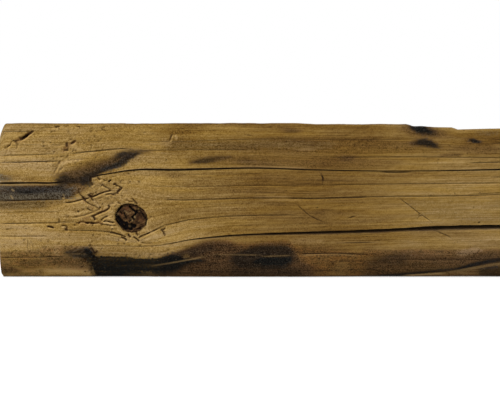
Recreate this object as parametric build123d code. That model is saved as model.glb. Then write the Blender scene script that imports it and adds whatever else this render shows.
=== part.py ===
"""Reclaimed wood beam: one squared timber, sawn flat underneath, hewn on its other three sides.

The beam lies along X on its sawn underside, with the front face towards -Y and +Z up. The origin is
the middle of the underside. All sizes are millimetres. Places on the beam are given from its left
end (from_left) and up from the underside (up), as they would be measured with a tape.

The log's round edge (wane) is left along the lower front arris, and the other arrises are worn round.
The wood has dried round its pith, so checks open from the faces and run in towards it, wide at
the surface and closed at the root. One dead knot stands in its own hole, loose all round, split
across and rotten along its lower left side. The left end has lost its top corner.
"""

from build123d import *
from math import cos, pi, sin
import os

# The squared timber
LENGTH = 1524.0
HEIGHT = 155.0
DEPTH = 155.0
ARRIS_RADIUS = 4.5
FACE_CROWN = 1.2
SECTION_SPACING = 46.0
SAW_SPARE = 3.0

# The wane along the lower front arris
WANE_HEIGHT = 25.0
WANE_DEPTH = 17.0
WANE_BULGE = 4.2

# Slow waves of the hewn edges: (height of the wave, its length, where it starts)
TOP_FRONT_WAVES = [(0.7, 210.0, 35.0), (0.5, 93.0, 10.0)]
TOP_BACK_WAVES = [(1.2, 390.0, 120.0), (0.6, 140.0, 60.0)]
FRONT_WAVES = [(0.7, 470.0, 60.0), (0.4, 160.0, 20.0)]
BACK_WAVES = [(1.3, 520.0, 260.0), (0.6, 170.0, 90.0)]
WANE_WAVES = [(4.5, 330.0, 190.0), (2.0, 120.0, 40.0)]

# The top front arris steps down along the beam, and comes back up further on
SAG_START = 395.0
SAG_DEPTH = 6.0
SAG_RUN = 75.0
SAG_LENGTH = 420.0

# The ends
END_SLOPE = 1.1
CORNER_LOSS = 5.5
CORNER_LOSS_HEIGHT = 26.0
TOE_LOSS = 8.0
TOE_LOSS_HEIGHT = 4.0

# The pith, which the checks point to, seen on the right end
PITH_BACK = 88.0
PITH_UP = 70.0

# The gouge in the front face, near the broken corner
GOUGE_FROM_LEFT = 24.0
GOUGE_UP = 131.5
GOUGE_TURN = 36.0
GOUGE_LENGTH = 34.0
GOUGE_WIDTH = 4.0
GOUGE_DEPTH = 3.5

# The knot and its hole
KNOT_FROM_LEFT = 131.0
KNOT_UP = 59.5
KNOT_WIDTH = 32.5
KNOT_HEIGHT = 28.0
KNOT_TILT = -18.0
KNOT_SUNK = 1.6
KNOT_GAP = 0.9
KNOT_GAP_DEPTH = 9.0
KNOT_SPLIT_WIDTH = 1.3
KNOT_SPLIT_DEPTH = 5.0
ROT_DEPTH = 7.0

# How far a cutting tool stands out of the wood, and how narrow a check is at its root
CLEAR = 4.0
ROOT_SHARE = 0.12

# Faces as drawing planes: x runs along the face, y across it, and z out of the wood
FRONT = Plane(origin=(0, -DEPTH / 2, 0), x_dir=(1, 0, 0), z_dir=(0, -1, 0))
TOP = Plane(origin=(0, 0, HEIGHT), x_dir=(1, 0, 0), z_dir=(0, 0, 1))
BACK = Plane(origin=(0, DEPTH / 2, 0), x_dir=(-1, 0, 0), z_dir=(0, 1, 0))
RIGHT_END = Plane(origin=(LENGTH / 2, 0, 0), x_dir=(0, 1, 0), z_dir=(1, 0, 0))
LEFT_END = Plane(origin=(-LENGTH / 2, 0, 0), x_dir=(0, -1, 0), z_dir=(-1, 0, 0))


def along(from_left):
    """X of a place that far from the left end."""
    return from_left - LENGTH / 2


def drift(from_left, waves):
    """How far a hewn edge stands in from the squared size, never less than nothing."""
    highest = sum(height for height, _, _ in waves)
    wave = sum(
        height * sin(2 * pi * (from_left - start) / length) for height, length, start in waves
    )
    return highest - wave


def sag(from_left):
    """Depth of the long hollow in the top front arris: down over one run, level, and back up."""

    def eased(share):
        share = min(max(share, 0.0), 1.0)
        return share * share * (3 - 2 * share)

    down = eased((from_left - SAG_START) / SAG_RUN)
    up = eased((from_left - SAG_START - SAG_LENGTH) / SAG_RUN)
    return SAG_DEPTH * (down - up)


def section(from_left):
    """The outline of the timber across its length, as drawn before the underside is sawn."""
    x = along(from_left)
    front = -DEPTH / 2 + drift(from_left, FRONT_WAVES)
    back = DEPTH / 2 - drift(from_left, BACK_WAVES)
    top_front = HEIGHT - drift(from_left, TOP_FRONT_WAVES) - sag(from_left)
    top_back = HEIGHT - drift(from_left, TOP_BACK_WAVES)
    wane = drift(from_left, WANE_WAVES)
    wane_top = WANE_HEIGHT + wane
    wane_foot = front + WANE_DEPTH + wane / 2
    corner = ARRIS_RADIUS * (1 - cos(pi / 4))

    underside = Line((x, back, -SAW_SPARE), (x, wane_foot, -SAW_SPARE))
    wane_edge = ThreePointArc(
        (x, wane_foot, -SAW_SPARE),
        (x, (wane_foot + front) / 2 - WANE_BULGE, (wane_top - SAW_SPARE) / 2 - WANE_BULGE),
        (x, front, wane_top),
    )
    front_face = ThreePointArc(
        (x, front, wane_top),
        (x, front - FACE_CROWN, (wane_top + top_front) / 2),
        (x, front, top_front - ARRIS_RADIUS),
    )
    top_front_arris = ThreePointArc(
        (x, front, top_front - ARRIS_RADIUS),
        (x, front + corner, top_front - corner),
        (x, front + ARRIS_RADIUS, top_front),
    )
    top_face = ThreePointArc(
        (x, front + ARRIS_RADIUS, top_front),
        (x, (front + back) / 2, (top_front + top_back) / 2 + FACE_CROWN),
        (x, back - ARRIS_RADIUS, top_back),
    )
    top_back_arris = ThreePointArc(
        (x, back - ARRIS_RADIUS, top_back),
        (x, back - corner, top_back - corner),
        (x, back, top_back - ARRIS_RADIUS),
    )
    back_face = ThreePointArc(
        (x, back, top_back - ARRIS_RADIUS),
        (x, back + FACE_CROWN, top_back / 2),
        (x, back, -SAW_SPARE),
    )
    return Wire(
        [
            underside,
            wane_edge,
            front_face,
            top_front_arris,
            top_face,
            top_back_arris,
            back_face,
        ]
    )


def hewn_timber():
    """The timber lofted through its sections, then sawn flat underneath and cut to length."""
    count = max(4, round((LENGTH + 2 * SECTION_SPACING) / SECTION_SPACING))
    step = (LENGTH + 2 * SECTION_SPACING) / count
    sections = [section(-SECTION_SPACING + step * i) for i in range(count + 1)]
    squared = Pos(0, 0, HEIGHT / 2) * Box(LENGTH, DEPTH, HEIGHT)
    return Solid.make_loft(sections) & squared


def check_tool(path, depth, lean=0.0):
    """A wedge that opens a check along a path of (along, across, width) in a drawing plane.

    It is lens shaped, closed at both ends of the path, and leans across the grain on its way in.
    """

    def outline(level, share, shift):
        first, last = path[0], path[-1]
        ends = [(first[0], first[1] + shift, level), (last[0], last[1] + shift, level)]
        sides = [
            [(a, c + shift + side * share * width / 2, level) for a, c, width in path[1:-1]]
            for side in (1, -1)
        ]
        upper = Spline(ends[0], *sides[0], ends[1])
        lower = Spline(ends[0], *sides[1], ends[1])
        return Wire([upper, lower])

    slope = lean / depth
    mouth = outline(CLEAR, 1 + CLEAR / depth, -slope * CLEAR)
    root = outline(-depth, ROOT_SHARE, lean)
    return Solid.make_loft([mouth, root], ruled=True)


def from_left_path(points):
    """A path given from the left end, as check_tool takes it on the front and top faces."""
    return [(along(from_left), across, width) for from_left, across, width in points]


def front_checks():
    """The checks in the front face. They follow the grain, which bows over the knot."""
    main = [
        (166, 33, 0),
        (190, 37.5, 0.7),
        (225, 41.3, 1.1),
        (300, 44.5, 2.0),
        (365, 46.6, 3.3),
        (440, 49.8, 4.6),
        (520, 51, 4.6),
        (700, 54, 5.6),
        (900, 53, 4.8),
        (1080, 56, 3.0),
        (1215, 57, 0),
    ]
    upper = [
        (92, 100, 0),
        (112, 104, 1.0),
        (139, 107.6, 2.0),
        (176, 107.7, 2.0),
        (250, 109.4, 1.2),
        (314, 107.8, 1.0),
        (378, 106.4, 1.3),
        (500, 108, 1.6),
        (640, 111, 1.2),
        (760, 112, 0),
    ]
    left = [(-30, 95, 0), (0, 94.2, 1.8), (32, 94.5, 1.7), (56, 94.6, 1.3), (80, 98, 0)]
    right = [
        (980, 96, 0),
        (1100, 98, 1.6),
        (1260, 94, 2.6),
        (1400, 92, 3.2),
        (LENGTH, 90, 4.0),
        (LENGTH + 60, 89, 0),
    ]
    tools = [
        check_tool(from_left_path(main), depth=46.0, lean=20.0),
        check_tool(from_left_path(upper), depth=24.0, lean=-7.0),
        check_tool(from_left_path(left), depth=20.0, lean=-4.0),
        check_tool(from_left_path(right), depth=40.0, lean=-8.0),
    ]
    return [FRONT * tool for tool in tools]


def gouge_tool():
    """The short gouge that something sharp has torn across the grain."""
    reach = GOUGE_LENGTH / 2
    shoulder = 0.65 * GOUGE_WIDTH
    path = [
        (-reach, 0, 0),
        (-reach / 2, -0.4, shoulder),
        (0, 0, GOUGE_WIDTH),
        (reach / 2, 0.4, shoulder),
        (reach, 0, 0),
    ]
    place = FRONT * Pos(along(GOUGE_FROM_LEFT), GOUGE_UP) * Rot(0, 0, GOUGE_TURN)
    return place * check_tool(path, depth=GOUGE_DEPTH)


def top_and_back_checks():
    """The widest check of the top face and the one of the back face."""
    top = [
        (210, 12, 0),
        (330, 15, 1.6),
        (520, 10, 3.4),
        (760, 14, 4.4),
        (980, 9, 3.2),
        (1200, 13, 1.4),
        (1330, 11, 0),
    ]
    back = [
        (-620, 86, 0),
        (-430, 90, 2.2),
        (-150, 84, 4.0),
        (120, 88, 3.0),
        (380, 83, 1.4),
        (520, 84, 0),
    ]
    return [
        TOP * check_tool(from_left_path(top), depth=48.0, lean=-4.0),
        BACK * check_tool(back, depth=40.0, lean=-8.0),
    ]


def end_checks(end, across_sign, spokes):
    """Checks in one end grain, each a spoke from the pith.

    A spoke is given as (angle, inner radius, outer radius, width, depth).
    """
    pith = (across_sign * (PITH_BACK - DEPTH / 2), PITH_UP)
    bow = 0.6
    tools = []
    for angle, inner, outer, width, depth in spokes:
        path = [(inner, 0, 0), ((inner + outer) / 2, bow, width), (outer, 0, 0)]
        tools.append(end * Pos(*pith) * Rot(0, 0, angle) * check_tool(path, depth))
    return tools


def knot_tools():
    """What is cut for the knot: the sunk face, the gap round it, two splits and the rotten side."""
    place = FRONT * Pos(along(KNOT_FROM_LEFT), KNOT_UP) * Rot(0, 0, KNOT_TILT)
    rim = Ellipse(KNOT_WIDTH / 2, KNOT_HEIGHT / 2)
    heart = Ellipse(KNOT_WIDTH / 2 - KNOT_GAP, KNOT_HEIGHT / 2 - KNOT_GAP)
    face_depth = KNOT_SUNK + FACE_CROWN / 2
    sunk_face = Pos(0, 0, -face_depth) * extrude(rim, face_depth + CLEAR)
    gap = Pos(0, 0, -KNOT_GAP_DEPTH) * extrude(rim - heart, KNOT_GAP_DEPTH + CLEAR)

    long_split = [(-8.4, 5.6, 0), (0, 4.4, KNOT_SPLIT_WIDTH), (11.2, 2.2, 0)]
    cross_split = [(-7.0, 0, 0), (0, 0.3, KNOT_SPLIT_WIDTH), (8.4, 0, 0)]
    cross_place = Pos(3.0, 4.0) * Rot(0, 0, 72)
    splits = [
        check_tool(long_split, KNOT_SPLIT_DEPTH),
        cross_place * check_tool(cross_split, KNOT_SPLIT_DEPTH),
    ]
    rot_outline = [(-15, 4), (-10, 1), (-4, -5), (3, -8), (4, -11.5), (-5, -12), (-12, -6)]
    rot_face = make_face(Spline(*rot_outline, periodic=True)) & heart
    rotten = Pos(0, 0, -ROT_DEPTH) * extrude(rot_face, ROT_DEPTH + CLEAR)
    return [place * tool for tool in (sunk_face, gap, *splits, rotten)]


def end_tools():
    """What is lost at the ends: the right one is sawn out of square, the left has two broken corners."""
    right = Pos(LENGTH / 2, 0, 0) * Rot(0, -END_SLOPE, 0) * Pos(LENGTH / 2, 0, HEIGHT / 2)
    right_cut = right * Box(LENGTH, 2 * DEPTH, 3 * HEIGHT)
    corner = Polyline(
        (along(CORNER_LOSS), HEIGHT + CLEAR),
        (along(CORNER_LOSS), HEIGHT),
        (along(CORNER_LOSS / 5), HEIGHT - CORNER_LOSS_HEIGHT / 2),
        (along(0), HEIGHT - CORNER_LOSS_HEIGHT),
        (along(-CLEAR), HEIGHT - CORNER_LOSS_HEIGHT),
        (along(-CLEAR), HEIGHT + CLEAR),
        close=True,
    )
    toe = Polyline(
        (along(-CLEAR), -CLEAR),
        (along(-CLEAR), TOE_LOSS_HEIGHT),
        (along(0), TOE_LOSS_HEIGHT),
        (along(TOE_LOSS * 0.6), TOE_LOSS_HEIGHT / 3),
        (along(TOE_LOSS), 0),
        (along(TOE_LOSS), -CLEAR),
        close=True,
    )
    drawing = Plane(origin=(0, 0, 0), x_dir=(1, 0, 0), z_dir=(0, -1, 0))
    broken = [drawing * extrude(make_face(line), DEPTH, both=True) for line in (corner, toe)]
    return [right_cut, *broken]


def beam():
    """The whole beam, one solid."""
    wood = hewn_timber()
    right_spokes = [(20, 4, 60, 2.2, 22), (140, 6, 66, 2.6, 30), (255, 5, 48, 1.6, 16)]
    left_spokes = [(55, 6, 58, 2.0, 20), (170, 5, 64, 2.4, 26), (290, 6, 50, 1.8, 18)]
    tools = [
        *end_tools(),
        *front_checks(),
        gouge_tool(),
        *top_and_back_checks(),
        *end_checks(RIGHT_END, 1, right_spokes),
        *end_checks(LEFT_END, -1, left_spokes),
        *knot_tools(),
    ]
    for tool in tools:
        wood = wood - tool
    return wood


os.makedirs("parts", exist_ok=True)
export_step(beam(), "parts/beam.step")
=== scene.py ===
"""Dress of the reclaimed wood beam: one dense mesh of the weathered timber, lights, floor and camera.

Sizes are in millimetres until the mesh is made, which is in metres. Places along the beam are given
from its left end. Places on the photographed front face are (from_left, down), where down is
measured from a level line DATUM above the floor; up() turns it into height.
"""

from math import cos, pi, radians, sin, tan

import bpy
import numpy as np
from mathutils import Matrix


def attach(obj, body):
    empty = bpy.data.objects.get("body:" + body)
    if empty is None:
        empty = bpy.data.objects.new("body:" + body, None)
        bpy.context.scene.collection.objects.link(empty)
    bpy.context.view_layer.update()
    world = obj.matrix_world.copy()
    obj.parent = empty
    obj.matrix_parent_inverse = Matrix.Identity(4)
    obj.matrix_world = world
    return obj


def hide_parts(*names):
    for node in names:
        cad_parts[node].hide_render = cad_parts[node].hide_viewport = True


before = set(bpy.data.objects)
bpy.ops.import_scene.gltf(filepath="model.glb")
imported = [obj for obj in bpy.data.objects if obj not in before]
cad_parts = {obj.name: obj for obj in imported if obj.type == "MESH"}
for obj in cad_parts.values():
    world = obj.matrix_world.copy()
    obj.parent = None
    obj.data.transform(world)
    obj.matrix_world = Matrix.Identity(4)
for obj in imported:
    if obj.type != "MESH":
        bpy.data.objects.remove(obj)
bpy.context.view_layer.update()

MM = 0.001

# The squared timber, as in the part's source
LENGTH = 1524.0
HEIGHT = 155.0
DEPTH = 155.0
FACE_CROWN = 1.2
ARRIS_RADIUS = 4.0
END_SLOPE = 1.1
WANE_HEIGHT = 25.0
WANE_DEPTH = 17.0
WANE_BULGE = 4.2
SAW_SPARE = 3.0
TOP_FRONT_WAVES = [(0.7, 210.0, 35.0), (0.5, 93.0, 10.0)]
TOP_BACK_WAVES = [(1.2, 390.0, 120.0), (0.6, 140.0, 60.0)]
FRONT_WAVES = [(0.7, 470.0, 60.0), (0.4, 160.0, 20.0)]
BACK_WAVES = [(1.3, 520.0, 260.0), (0.6, 170.0, 90.0)]
WANE_WAVES = [(4.5, 330.0, 190.0), (2.0, 120.0, 40.0)]
SAG_START = 395.0
SAG_DEPTH = 6.0
SAG_RUN = 75.0
SAG_LENGTH = 420.0
ROOT_SHARE = 0.12
PITH_Y = 10.5
PITH_UP = 70.0
KNOT_FROM_LEFT = 131.0
KNOT_UP = 59.5
KNOT_WIDTH = 32.5
KNOT_HEIGHT = 28.0
KNOT_TILT = -18.0
CORNER_LOST, CORNER_RUN = 15.0, 6.5

# What the photograph shows: the level line that downs are measured from, and the length in view
DATUM = 277.5
SHOWN = 500.0
MADE_UP_RUN = 60.0

# The camera stands a little right of the middle of that length, and a little nearer than exact scale
CAMERA_RIGHT = 0.5
CAMERA_NEARER = 0.997
LENS, SENSOR = 100, 36


def up(down):
    """Height above the floor of a place given down from the datum."""
    return DATUM - down


def shown_x(x):
    """Where a place along the beam shows on the photographed face, as from_left."""
    return SHOWN / 2 + (x - SHOWN / 2 - CAMERA_RIGHT) / CAMERA_NEARER


def curve(points, x):
    """Height at each x of a smooth curve through the points, level beyond its ends."""
    px, py = np.array([p[:2] for p in points], float).T
    slope = np.gradient(py, px)
    i = np.clip(np.searchsorted(px, x) - 1, 0, len(px) - 2)
    run = px[i + 1] - px[i]
    t = np.clip((x - px[i]) / run, 0, 1)
    start = py[i] * (1 + 2 * t) + slope[i] * run * t
    end = py[i + 1] * (3 - 2 * t) - slope[i + 1] * run * (1 - t)
    return start * (1 - t) ** 2 + end * t**2


def eased(share):
    """A smooth step from 0 to 1."""
    share = np.clip(share, 0, 1)
    return share * share * (3 - 2 * share)


def unseen(x):
    """0 where the photograph shows the beam, 1 well beyond its right edge."""
    return eased((x - SHOWN) / MADE_UP_RUN)


def filled(shape, *values):
    """Arrays of one shape, each full of one value."""
    return tuple(np.full(shape, value) for value in values)


def noise(x, y, seed):
    """Smooth value noise from -1 to 1, its cells one unit wide."""
    table = np.random.default_rng(seed).uniform(-1, 1, (256, 256))
    x, y = np.broadcast_arrays(x, y)
    xi, yi = np.floor(x).astype(int), np.floor(y).astype(int)
    fx, fy = eased(x - xi), eased(y - yi)

    def corner(i, j):
        return table[(xi + i) % 256, (yi + j) % 256]

    low = corner(0, 0) * (1 - fx) + corner(1, 0) * fx
    high = corner(0, 1) * (1 - fx) + corner(1, 1) * fx
    return low * (1 - fy) + high * fy


def drift(x, waves):
    """How far a hewn edge stands in from the squared size, never less than nothing."""
    inset = sum(height for height, _, _ in waves) + np.zeros_like(x)
    for height, length, start in waves:
        inset -= height * np.sin(2 * pi * (x - start) / length)
    return inset


# The upper and lower edge of the front face, as the photograph shows them: (from_left, down)

TOP_EDGE = [
    (0, 137), (1, 134), (2, 131), (3, 128.4), (4, 126), (5, 124.2), (6.5, 123.2), (12, 123),
    (60, 123.1), (95, 123), (105, 122.5), (122, 122.6), (127, 123.3), (145, 123.5), (155, 123.3),
    (195, 122.8), (205, 122.5), (245, 122.5), (255, 123.1), (275, 123.3), (292, 123.1), (300, 123.8),
    (345, 124.6), (355, 124.6), (390, 124.5), (400, 124.8), (410, 125.1), (412.5, 126.2), (422, 126.5),
    (431, 127.3), (449, 127.8), (454, 128.2), (456.5, 129.5), (466, 129.9), (487, 129.7), (500, 129.2),
]
BOTTOM_EDGE = [
    (0, 273), (1.5, 274.4), (4, 275.8), (7, 277), (12, 277.2), (20, 276.8), (30, 276), (50, 275.4),
    (60, 275.2), (85, 275.8), (95, 276.8), (105, 276.6), (120, 276.8), (135, 277.3), (158, 277.5),
    (170, 277.4), (180, 276.6), (192, 276), (203, 275.8), (212, 276.2), (218, 277), (245, 277.1),
    (274, 276.8), (284, 276), (287.4, 275.2), (288.6, 277.4), (294, 276.8), (326, 276.4), (345, 275.6),
    (370, 275.6), (386, 276.2), (400, 276.5), (440, 276.2), (450, 276.4), (452.5, 277.5), (455, 276.3),
    (470, 276.6), (480, 277), (500, 276.8),
]


# The relief lowers the arris by ARRIS_SPARE, and by SPARE_MORE more to the right of SPARE_FROM
ARRIS_SPARE, SPARE_MORE, SPARE_FROM, SPARE_RUN = 0.5, 0.7, 255.0, 40.0


def top_front(x):
    """Height of the top front arris."""
    sag = eased((x - SAG_START) / SAG_RUN) - eased((x - SAG_START - SAG_LENGTH) / SAG_RUN)
    hewn = HEIGHT - drift(x, TOP_FRONT_WAVES) - SAG_DEPTH * sag
    spare = SPARE_MORE * eased((x - SPARE_FROM) / SPARE_RUN)
    shown = up(curve(TOP_EDGE, x)) + ARRIS_SPARE + spare
    blend = unseen(x)
    return np.minimum(shown * (1 - blend) + hewn * blend, HEIGHT)


def top_back(x):
    """Height of the top back arris."""
    lost = CORNER_LOST * (1 - eased(x / CORNER_RUN)) ** 2
    return HEIGHT - drift(x, TOP_BACK_WAVES) - lost


def foot_up(x):
    """How far the front edge of the underside is chipped up from the floor."""
    shown = up(curve(BOTTOM_EDGE, x))
    made_up = 0.5 + 0.5 * noise(x / 23, 0.5, 41) + 0.5 * noise(x / 7, 0.5, 42)
    blend = unseen(x)
    return np.maximum(0.25 * shown * (1 - blend) + made_up * blend, 0)


# Grain lines of the front face, lowest first: its label, then points. Between two lines the grain
# runs in proportion, so it bows over and under the knot.
GRAIN = [
    (0, [(0, 277.5), (1524, 277.5)]),
    (36, [(0, 244.5), (60, 245), (91, 245.9), (115, 246), (140, 246.4), (155, 245.6), (166, 244.5),
        (190, 240), (225, 236.3), (300, 233.4), (365, 231.6), (440, 228.2), (500, 227.1), (520, 226.9),
        (700, 223.5), (900, 224.5), (1080, 221.5), (1215, 220.5), (1524, 222)]),
    (54, [(0, 228.5), (67, 230), (96, 230.8), (112, 232.4), (127, 236.6), (137, 236.8), (151.5, 231.9),
        (164, 226.2), (188, 219.9), (223, 216.4), (250, 215.5), (294, 214.9), (500, 211.5), (760, 207),
        (1000, 206), (1250, 209), (1524, 211)]),
    (63, [(0, 223.6), (56, 222.8), (86, 222.8), (102, 222.6), (115, 220.5), (131, 217.8), (147, 214.5),
        (165, 210.5), (190, 208.3), (223, 207), (250, 206.5), (294, 206.3), (500, 203), (760, 197.5),
        (1000, 196), (1250, 199), (1524, 201)]),
    (79, [(0, 200.6), (32, 199.6), (60, 199.3), (86, 197.8), (100, 194), (118, 191), (135, 192.5),
        (150, 196.5), (164, 199.2), (183, 200), (250, 198.1), (314, 198.5), (362, 197.2), (425, 196.3),
        (500, 194.5), (700, 189.5), (850, 185.5), (980, 181.5), (1100, 179.5), (1260, 183.5),
        (1400, 185.5), (1524, 187.5)]),
    (107, [(0, 183.3), (32, 183), (56, 182.9), (76.5, 179.7), (95.7, 176.2), (111.6, 173.5),
        (127.5, 170.9), (138.7, 169.8), (175, 169.8), (207, 169), (250, 168), (314, 169.8), (378, 171),
        (441, 170.6), (500, 169.5), (640, 166.5), (760, 165.5), (1000, 164), (1250, 165),
        (1524, 166.5)]),
    (126, [(0, 155.6), (56, 153.8), (96, 150.7), (127, 148.6), (160, 150.5), (199, 149.9), (250, 150.5),
        (330, 153.5), (500, 155), (760, 150), (1000, 147), (1250, 149.5), (1524, 149)]),
]
TOP_LABEL = 150.0
MAIN_LABEL, UPPER_LABEL, RIGHT_LABEL = 36.0, 107.0, 79.0

# Widths of the checks along the beam: (from_left, width)
MAIN_WIDTHS = [
    (165, 0), (190, 0.3), (210, 0.8), (230, 1.2), (262, 1.4), (268, 1.7), (300, 2.1), (330, 2.7),
    (370, 2.8), (410, 3.4), (450, 4.1), (500, 4.1), (700, 5), (900, 4.4), (1080, 2.8), (1215, 0),
]
UPPER_WIDTHS = [
    (91, 0), (100, 0.4), (112, 0.5), (125, 0.7), (139, 0.9), (176, 1.3), (207, 1.2), (250, 0.6),
    (300, 0.42), (330, 0.36), (378, 0.32), (430, 0.26), (455, 0.5), (500, 1), (640, 1.2), (760, 0),
]
LEFT_WIDTHS = [(0, 0.3), (3, 0.7), (32, 0.8), (56, 0.65), (72, 0)]
RIGHT_WIDTHS = [(980, 0), (1100, 1.6), (1260, 2.6), (1400, 3.2), (1524, 4.0)]
TOP_CHECK = [
    (210, 89.5, 0), (330, 92.5, 1.6), (520, 87.5, 3.4), (760, 91.5, 4.4), (980, 86.5, 3.2),
    (1200, 90.5, 1.4), (1330, 88.5, 0),
]
BACK_CHECK = [
    (242, 84, 0), (382, 83, 1.4), (642, 88, 3.0), (912, 84, 4.0), (1192, 90, 2.2), (1382, 86, 0),
]


def grain_height(x, label):
    """Height on the front face of a grain line, for columns x and rows of labels."""
    names = [name for name, _ in GRAIN] + [TOP_LABEL]
    heights = [up(curve(points, x)) for _, points in GRAIN]
    heights[0] = foot_up(x)
    heights.append(top_front(x) - ARRIS_RADIUS)
    heights = np.array(heights)
    heights[1:-1] = np.minimum(heights[1:-1], heights[-1] - 3)
    k = np.clip(np.searchsorted(names, label, side="right") - 1, 0, len(names) - 2)
    low, high = np.array(names)[k], np.array(names)[k + 1]
    share = (label - low) / (high - low)
    return heights[k].T * (1 - share) + heights[k + 1].T * share


# The mesh is a grid of columns along the beam and rows round it. A run: start, end, spacing.

COLUMN_RUNS = [
    (0, 1.2, 0.4), (1.2, 8, 0.85), (8, 75, 1.0), (75, 112, 0.95), (112, 150, 0.8), (150, 180, 1.2),
    (180, 500, 3.0), (500, 560, 7.5), (560, 1500, 14), (1500, 1520, 4), (1520, 1524, 1.0),
]
ROW_RUNS = [
    (0, 35, 1.2), (37, 54, 1.15), (54, 63, 0.45), (63, 78, 0.52), (80, 106, 1.05), (108, 126, 1.05),
    (126, 150, 1.0),
]
CHECK_ROWS = [0.16, 0.5, 0.85]
CLEAR_OF_CHECK = 1.4

# Round the section the labels go on past the front face, at about a millimetre each
TOP_START, TOP_RUN = TOP_LABEL + 6, 147.0
BACK_ARRIS_START = TOP_LABEL + 153
BACK_START, BACK_RUN = TOP_LABEL + 160, 150
UNDER_START, UNDER_RUN = TOP_LABEL + 312, 140


def spaced(runs):
    """Places along each run at about its spacing, without repeats."""
    places = [np.linspace(a, b, max(2, round((b - a) / step) + 1)) for a, b, step in runs]
    return np.unique(np.round(np.concatenate(places), 4))


columns = spaced(COLUMN_RUNS)
front_checks = (MAIN_LABEL, UPPER_LABEL, RIGHT_LABEL)
beside = [check + side * d for check in front_checks for side in (-1, 1) for d in CHECK_ROWS]
front_rows = np.unique(np.concatenate([spaced(ROW_RUNS), beside]))

ARRIS_TURNS = np.radians([18, 38, 58, 76])
TOP_CHECK_SHARE, BACK_CHECK_SHARE = 0.58, 0.45


def face_rows(count, check_share):
    """Shares across a face, evenly spaced apart from the rows of its check."""
    even = np.linspace(0, 1, count)
    even = even[np.abs(even - check_share) * TOP_RUN > CLEAR_OF_CHECK]
    near = np.array(CHECK_ROWS) / TOP_RUN
    return np.unique(np.concatenate([even, check_share - near, check_share + near]))


top_rows = face_rows(20, TOP_CHECK_SHARE)
back_rows = face_rows(19, BACK_CHECK_SHARE)
UNDER_EDGE = 0.93
under_rows = np.append(np.linspace(0, UNDER_EDGE, 9)[1:], 0.97)


def wane_y(x, z, front):
    """How far back the wane lies at each height: the arc that the part's source draws."""
    wane = drift(x, WANE_WAVES)
    foot, crest = front + WANE_DEPTH + wane / 2, WANE_HEIGHT + wane
    ay, az = foot, -SAW_SPARE + 0 * x
    by, bz = front, crest
    my, mz = (foot + front) / 2 - WANE_BULGE, (crest - SAW_SPARE) / 2 - WANE_BULGE
    d = 2 * (ay * (mz - bz) + my * (bz - az) + by * (az - mz))
    aa, mm, bb = ay**2 + az**2, my**2 + mz**2, by**2 + bz**2
    cy = (aa * (mz - bz) + mm * (bz - az) + bb * (az - mz)) / d
    cz = (aa * (by - my) + mm * (ay - by) + bb * (my - ay)) / d
    radius = np.hypot(ay - cy, az - cz)
    reach = radius[:, None] ** 2 - (z - cz[:, None]) ** 2
    return cy[:, None] - np.sqrt(np.maximum(reach, 0))


def guided(share, check_share, middle):
    """Shares across a face moved so that the check's row follows its own line, at middle."""
    low = middle * share / check_share
    high = middle + (1 - middle) * (share - check_share) / (1 - check_share)
    return np.where(share < check_share, low, high)


def skin():
    """Base section points: y and z for each column and row, the rows' faces and grain labels."""
    x = columns
    wide = x[:, None]
    front = -DEPTH / 2 + drift(x, FRONT_WAVES)
    back = DEPTH / 2 - drift(x, BACK_WAVES)
    tf, tb = top_front(x), top_back(x)
    r = ARRIS_RADIUS
    parts = []

    z = grain_height(x, front_rows)
    crest = (WANE_HEIGHT + drift(x, WANE_WAVES))[:, None]
    t = np.clip((z - crest) / ((tf - r)[:, None] - crest), 0, 1)
    face = front[:, None] - FACE_CROWN * (1 - (2 * t - 1) ** 2)
    bark = wane_y(x, z, front)
    bark = np.where(z > crest, face - 0.6 * (z - crest), bark)
    y = (face + bark + np.sqrt((face - bark) ** 2 + 2.0)) / 2
    y = np.maximum(y, -DEPTH / 2)
    parts.append(("front", y, z, front_rows))

    last_y = y[:, -1][:, None]
    turn = ARRIS_TURNS[None, :]
    parts.append((
        "front_arris",
        last_y + r * (1 - np.cos(turn)),
        (tf - r)[:, None] + r * np.sin(turn),
        TOP_LABEL + r * ARRIS_TURNS,
    ))

    first, last = last_y[:, 0] + r, back - r
    check = curve(TOP_CHECK, x) - DEPTH / 2
    middle = ((check - first) / (last - first))[:, None]
    share = guided(top_rows[None, :], TOP_CHECK_SHARE, middle)
    y = first[:, None] + (last - first)[:, None] * share
    z = tf[:, None] * (1 - share) + tb[:, None] * share
    z = np.minimum(z + FACE_CROWN * (1 - (2 * share - 1) ** 2), HEIGHT)
    parts.append(("top", y, z, TOP_START + TOP_RUN * top_rows))

    parts.append((
        "back_arris",
        (back - r)[:, None] + r * np.sin(turn),
        (tb - r)[:, None] + r * np.cos(turn),
        BACK_ARRIS_START + r * ARRIS_TURNS,
    ))

    check = curve(BACK_CHECK, x)
    middle = (1 - check / (tb - r))[:, None]
    share = guided(back_rows[None, :], BACK_CHECK_SHARE, middle)
    z = (tb - r)[:, None] * (1 - share)
    y = np.minimum(back[:, None] + FACE_CROWN * (1 - (2 * share - 1) ** 2), DEPTH / 2)
    parts.append(("back", y, z, BACK_START + BACK_RUN * back_rows))

    start, end = parts[-1][1][:, -1][:, None], parts[0][1][:, 0][:, None]
    y = start + (end - start) * under_rows[None, :]
    near = eased((under_rows[None, :] - UNDER_EDGE) / 0.07)
    z = foot_up(x)[:, None] * near * (1 + 0 * wide)
    parts.append(("under", y, z, UNDER_START + UNDER_RUN * under_rows))

    names = np.concatenate([[name] * y.shape[1] for name, y, _, _ in parts])
    return (
        np.concatenate([y for _, y, _, _ in parts], axis=1),
        np.concatenate([z for _, _, z, _ in parts], axis=1),
        names,
        np.concatenate([labels for _, _, _, labels in parts]),
    )


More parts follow.
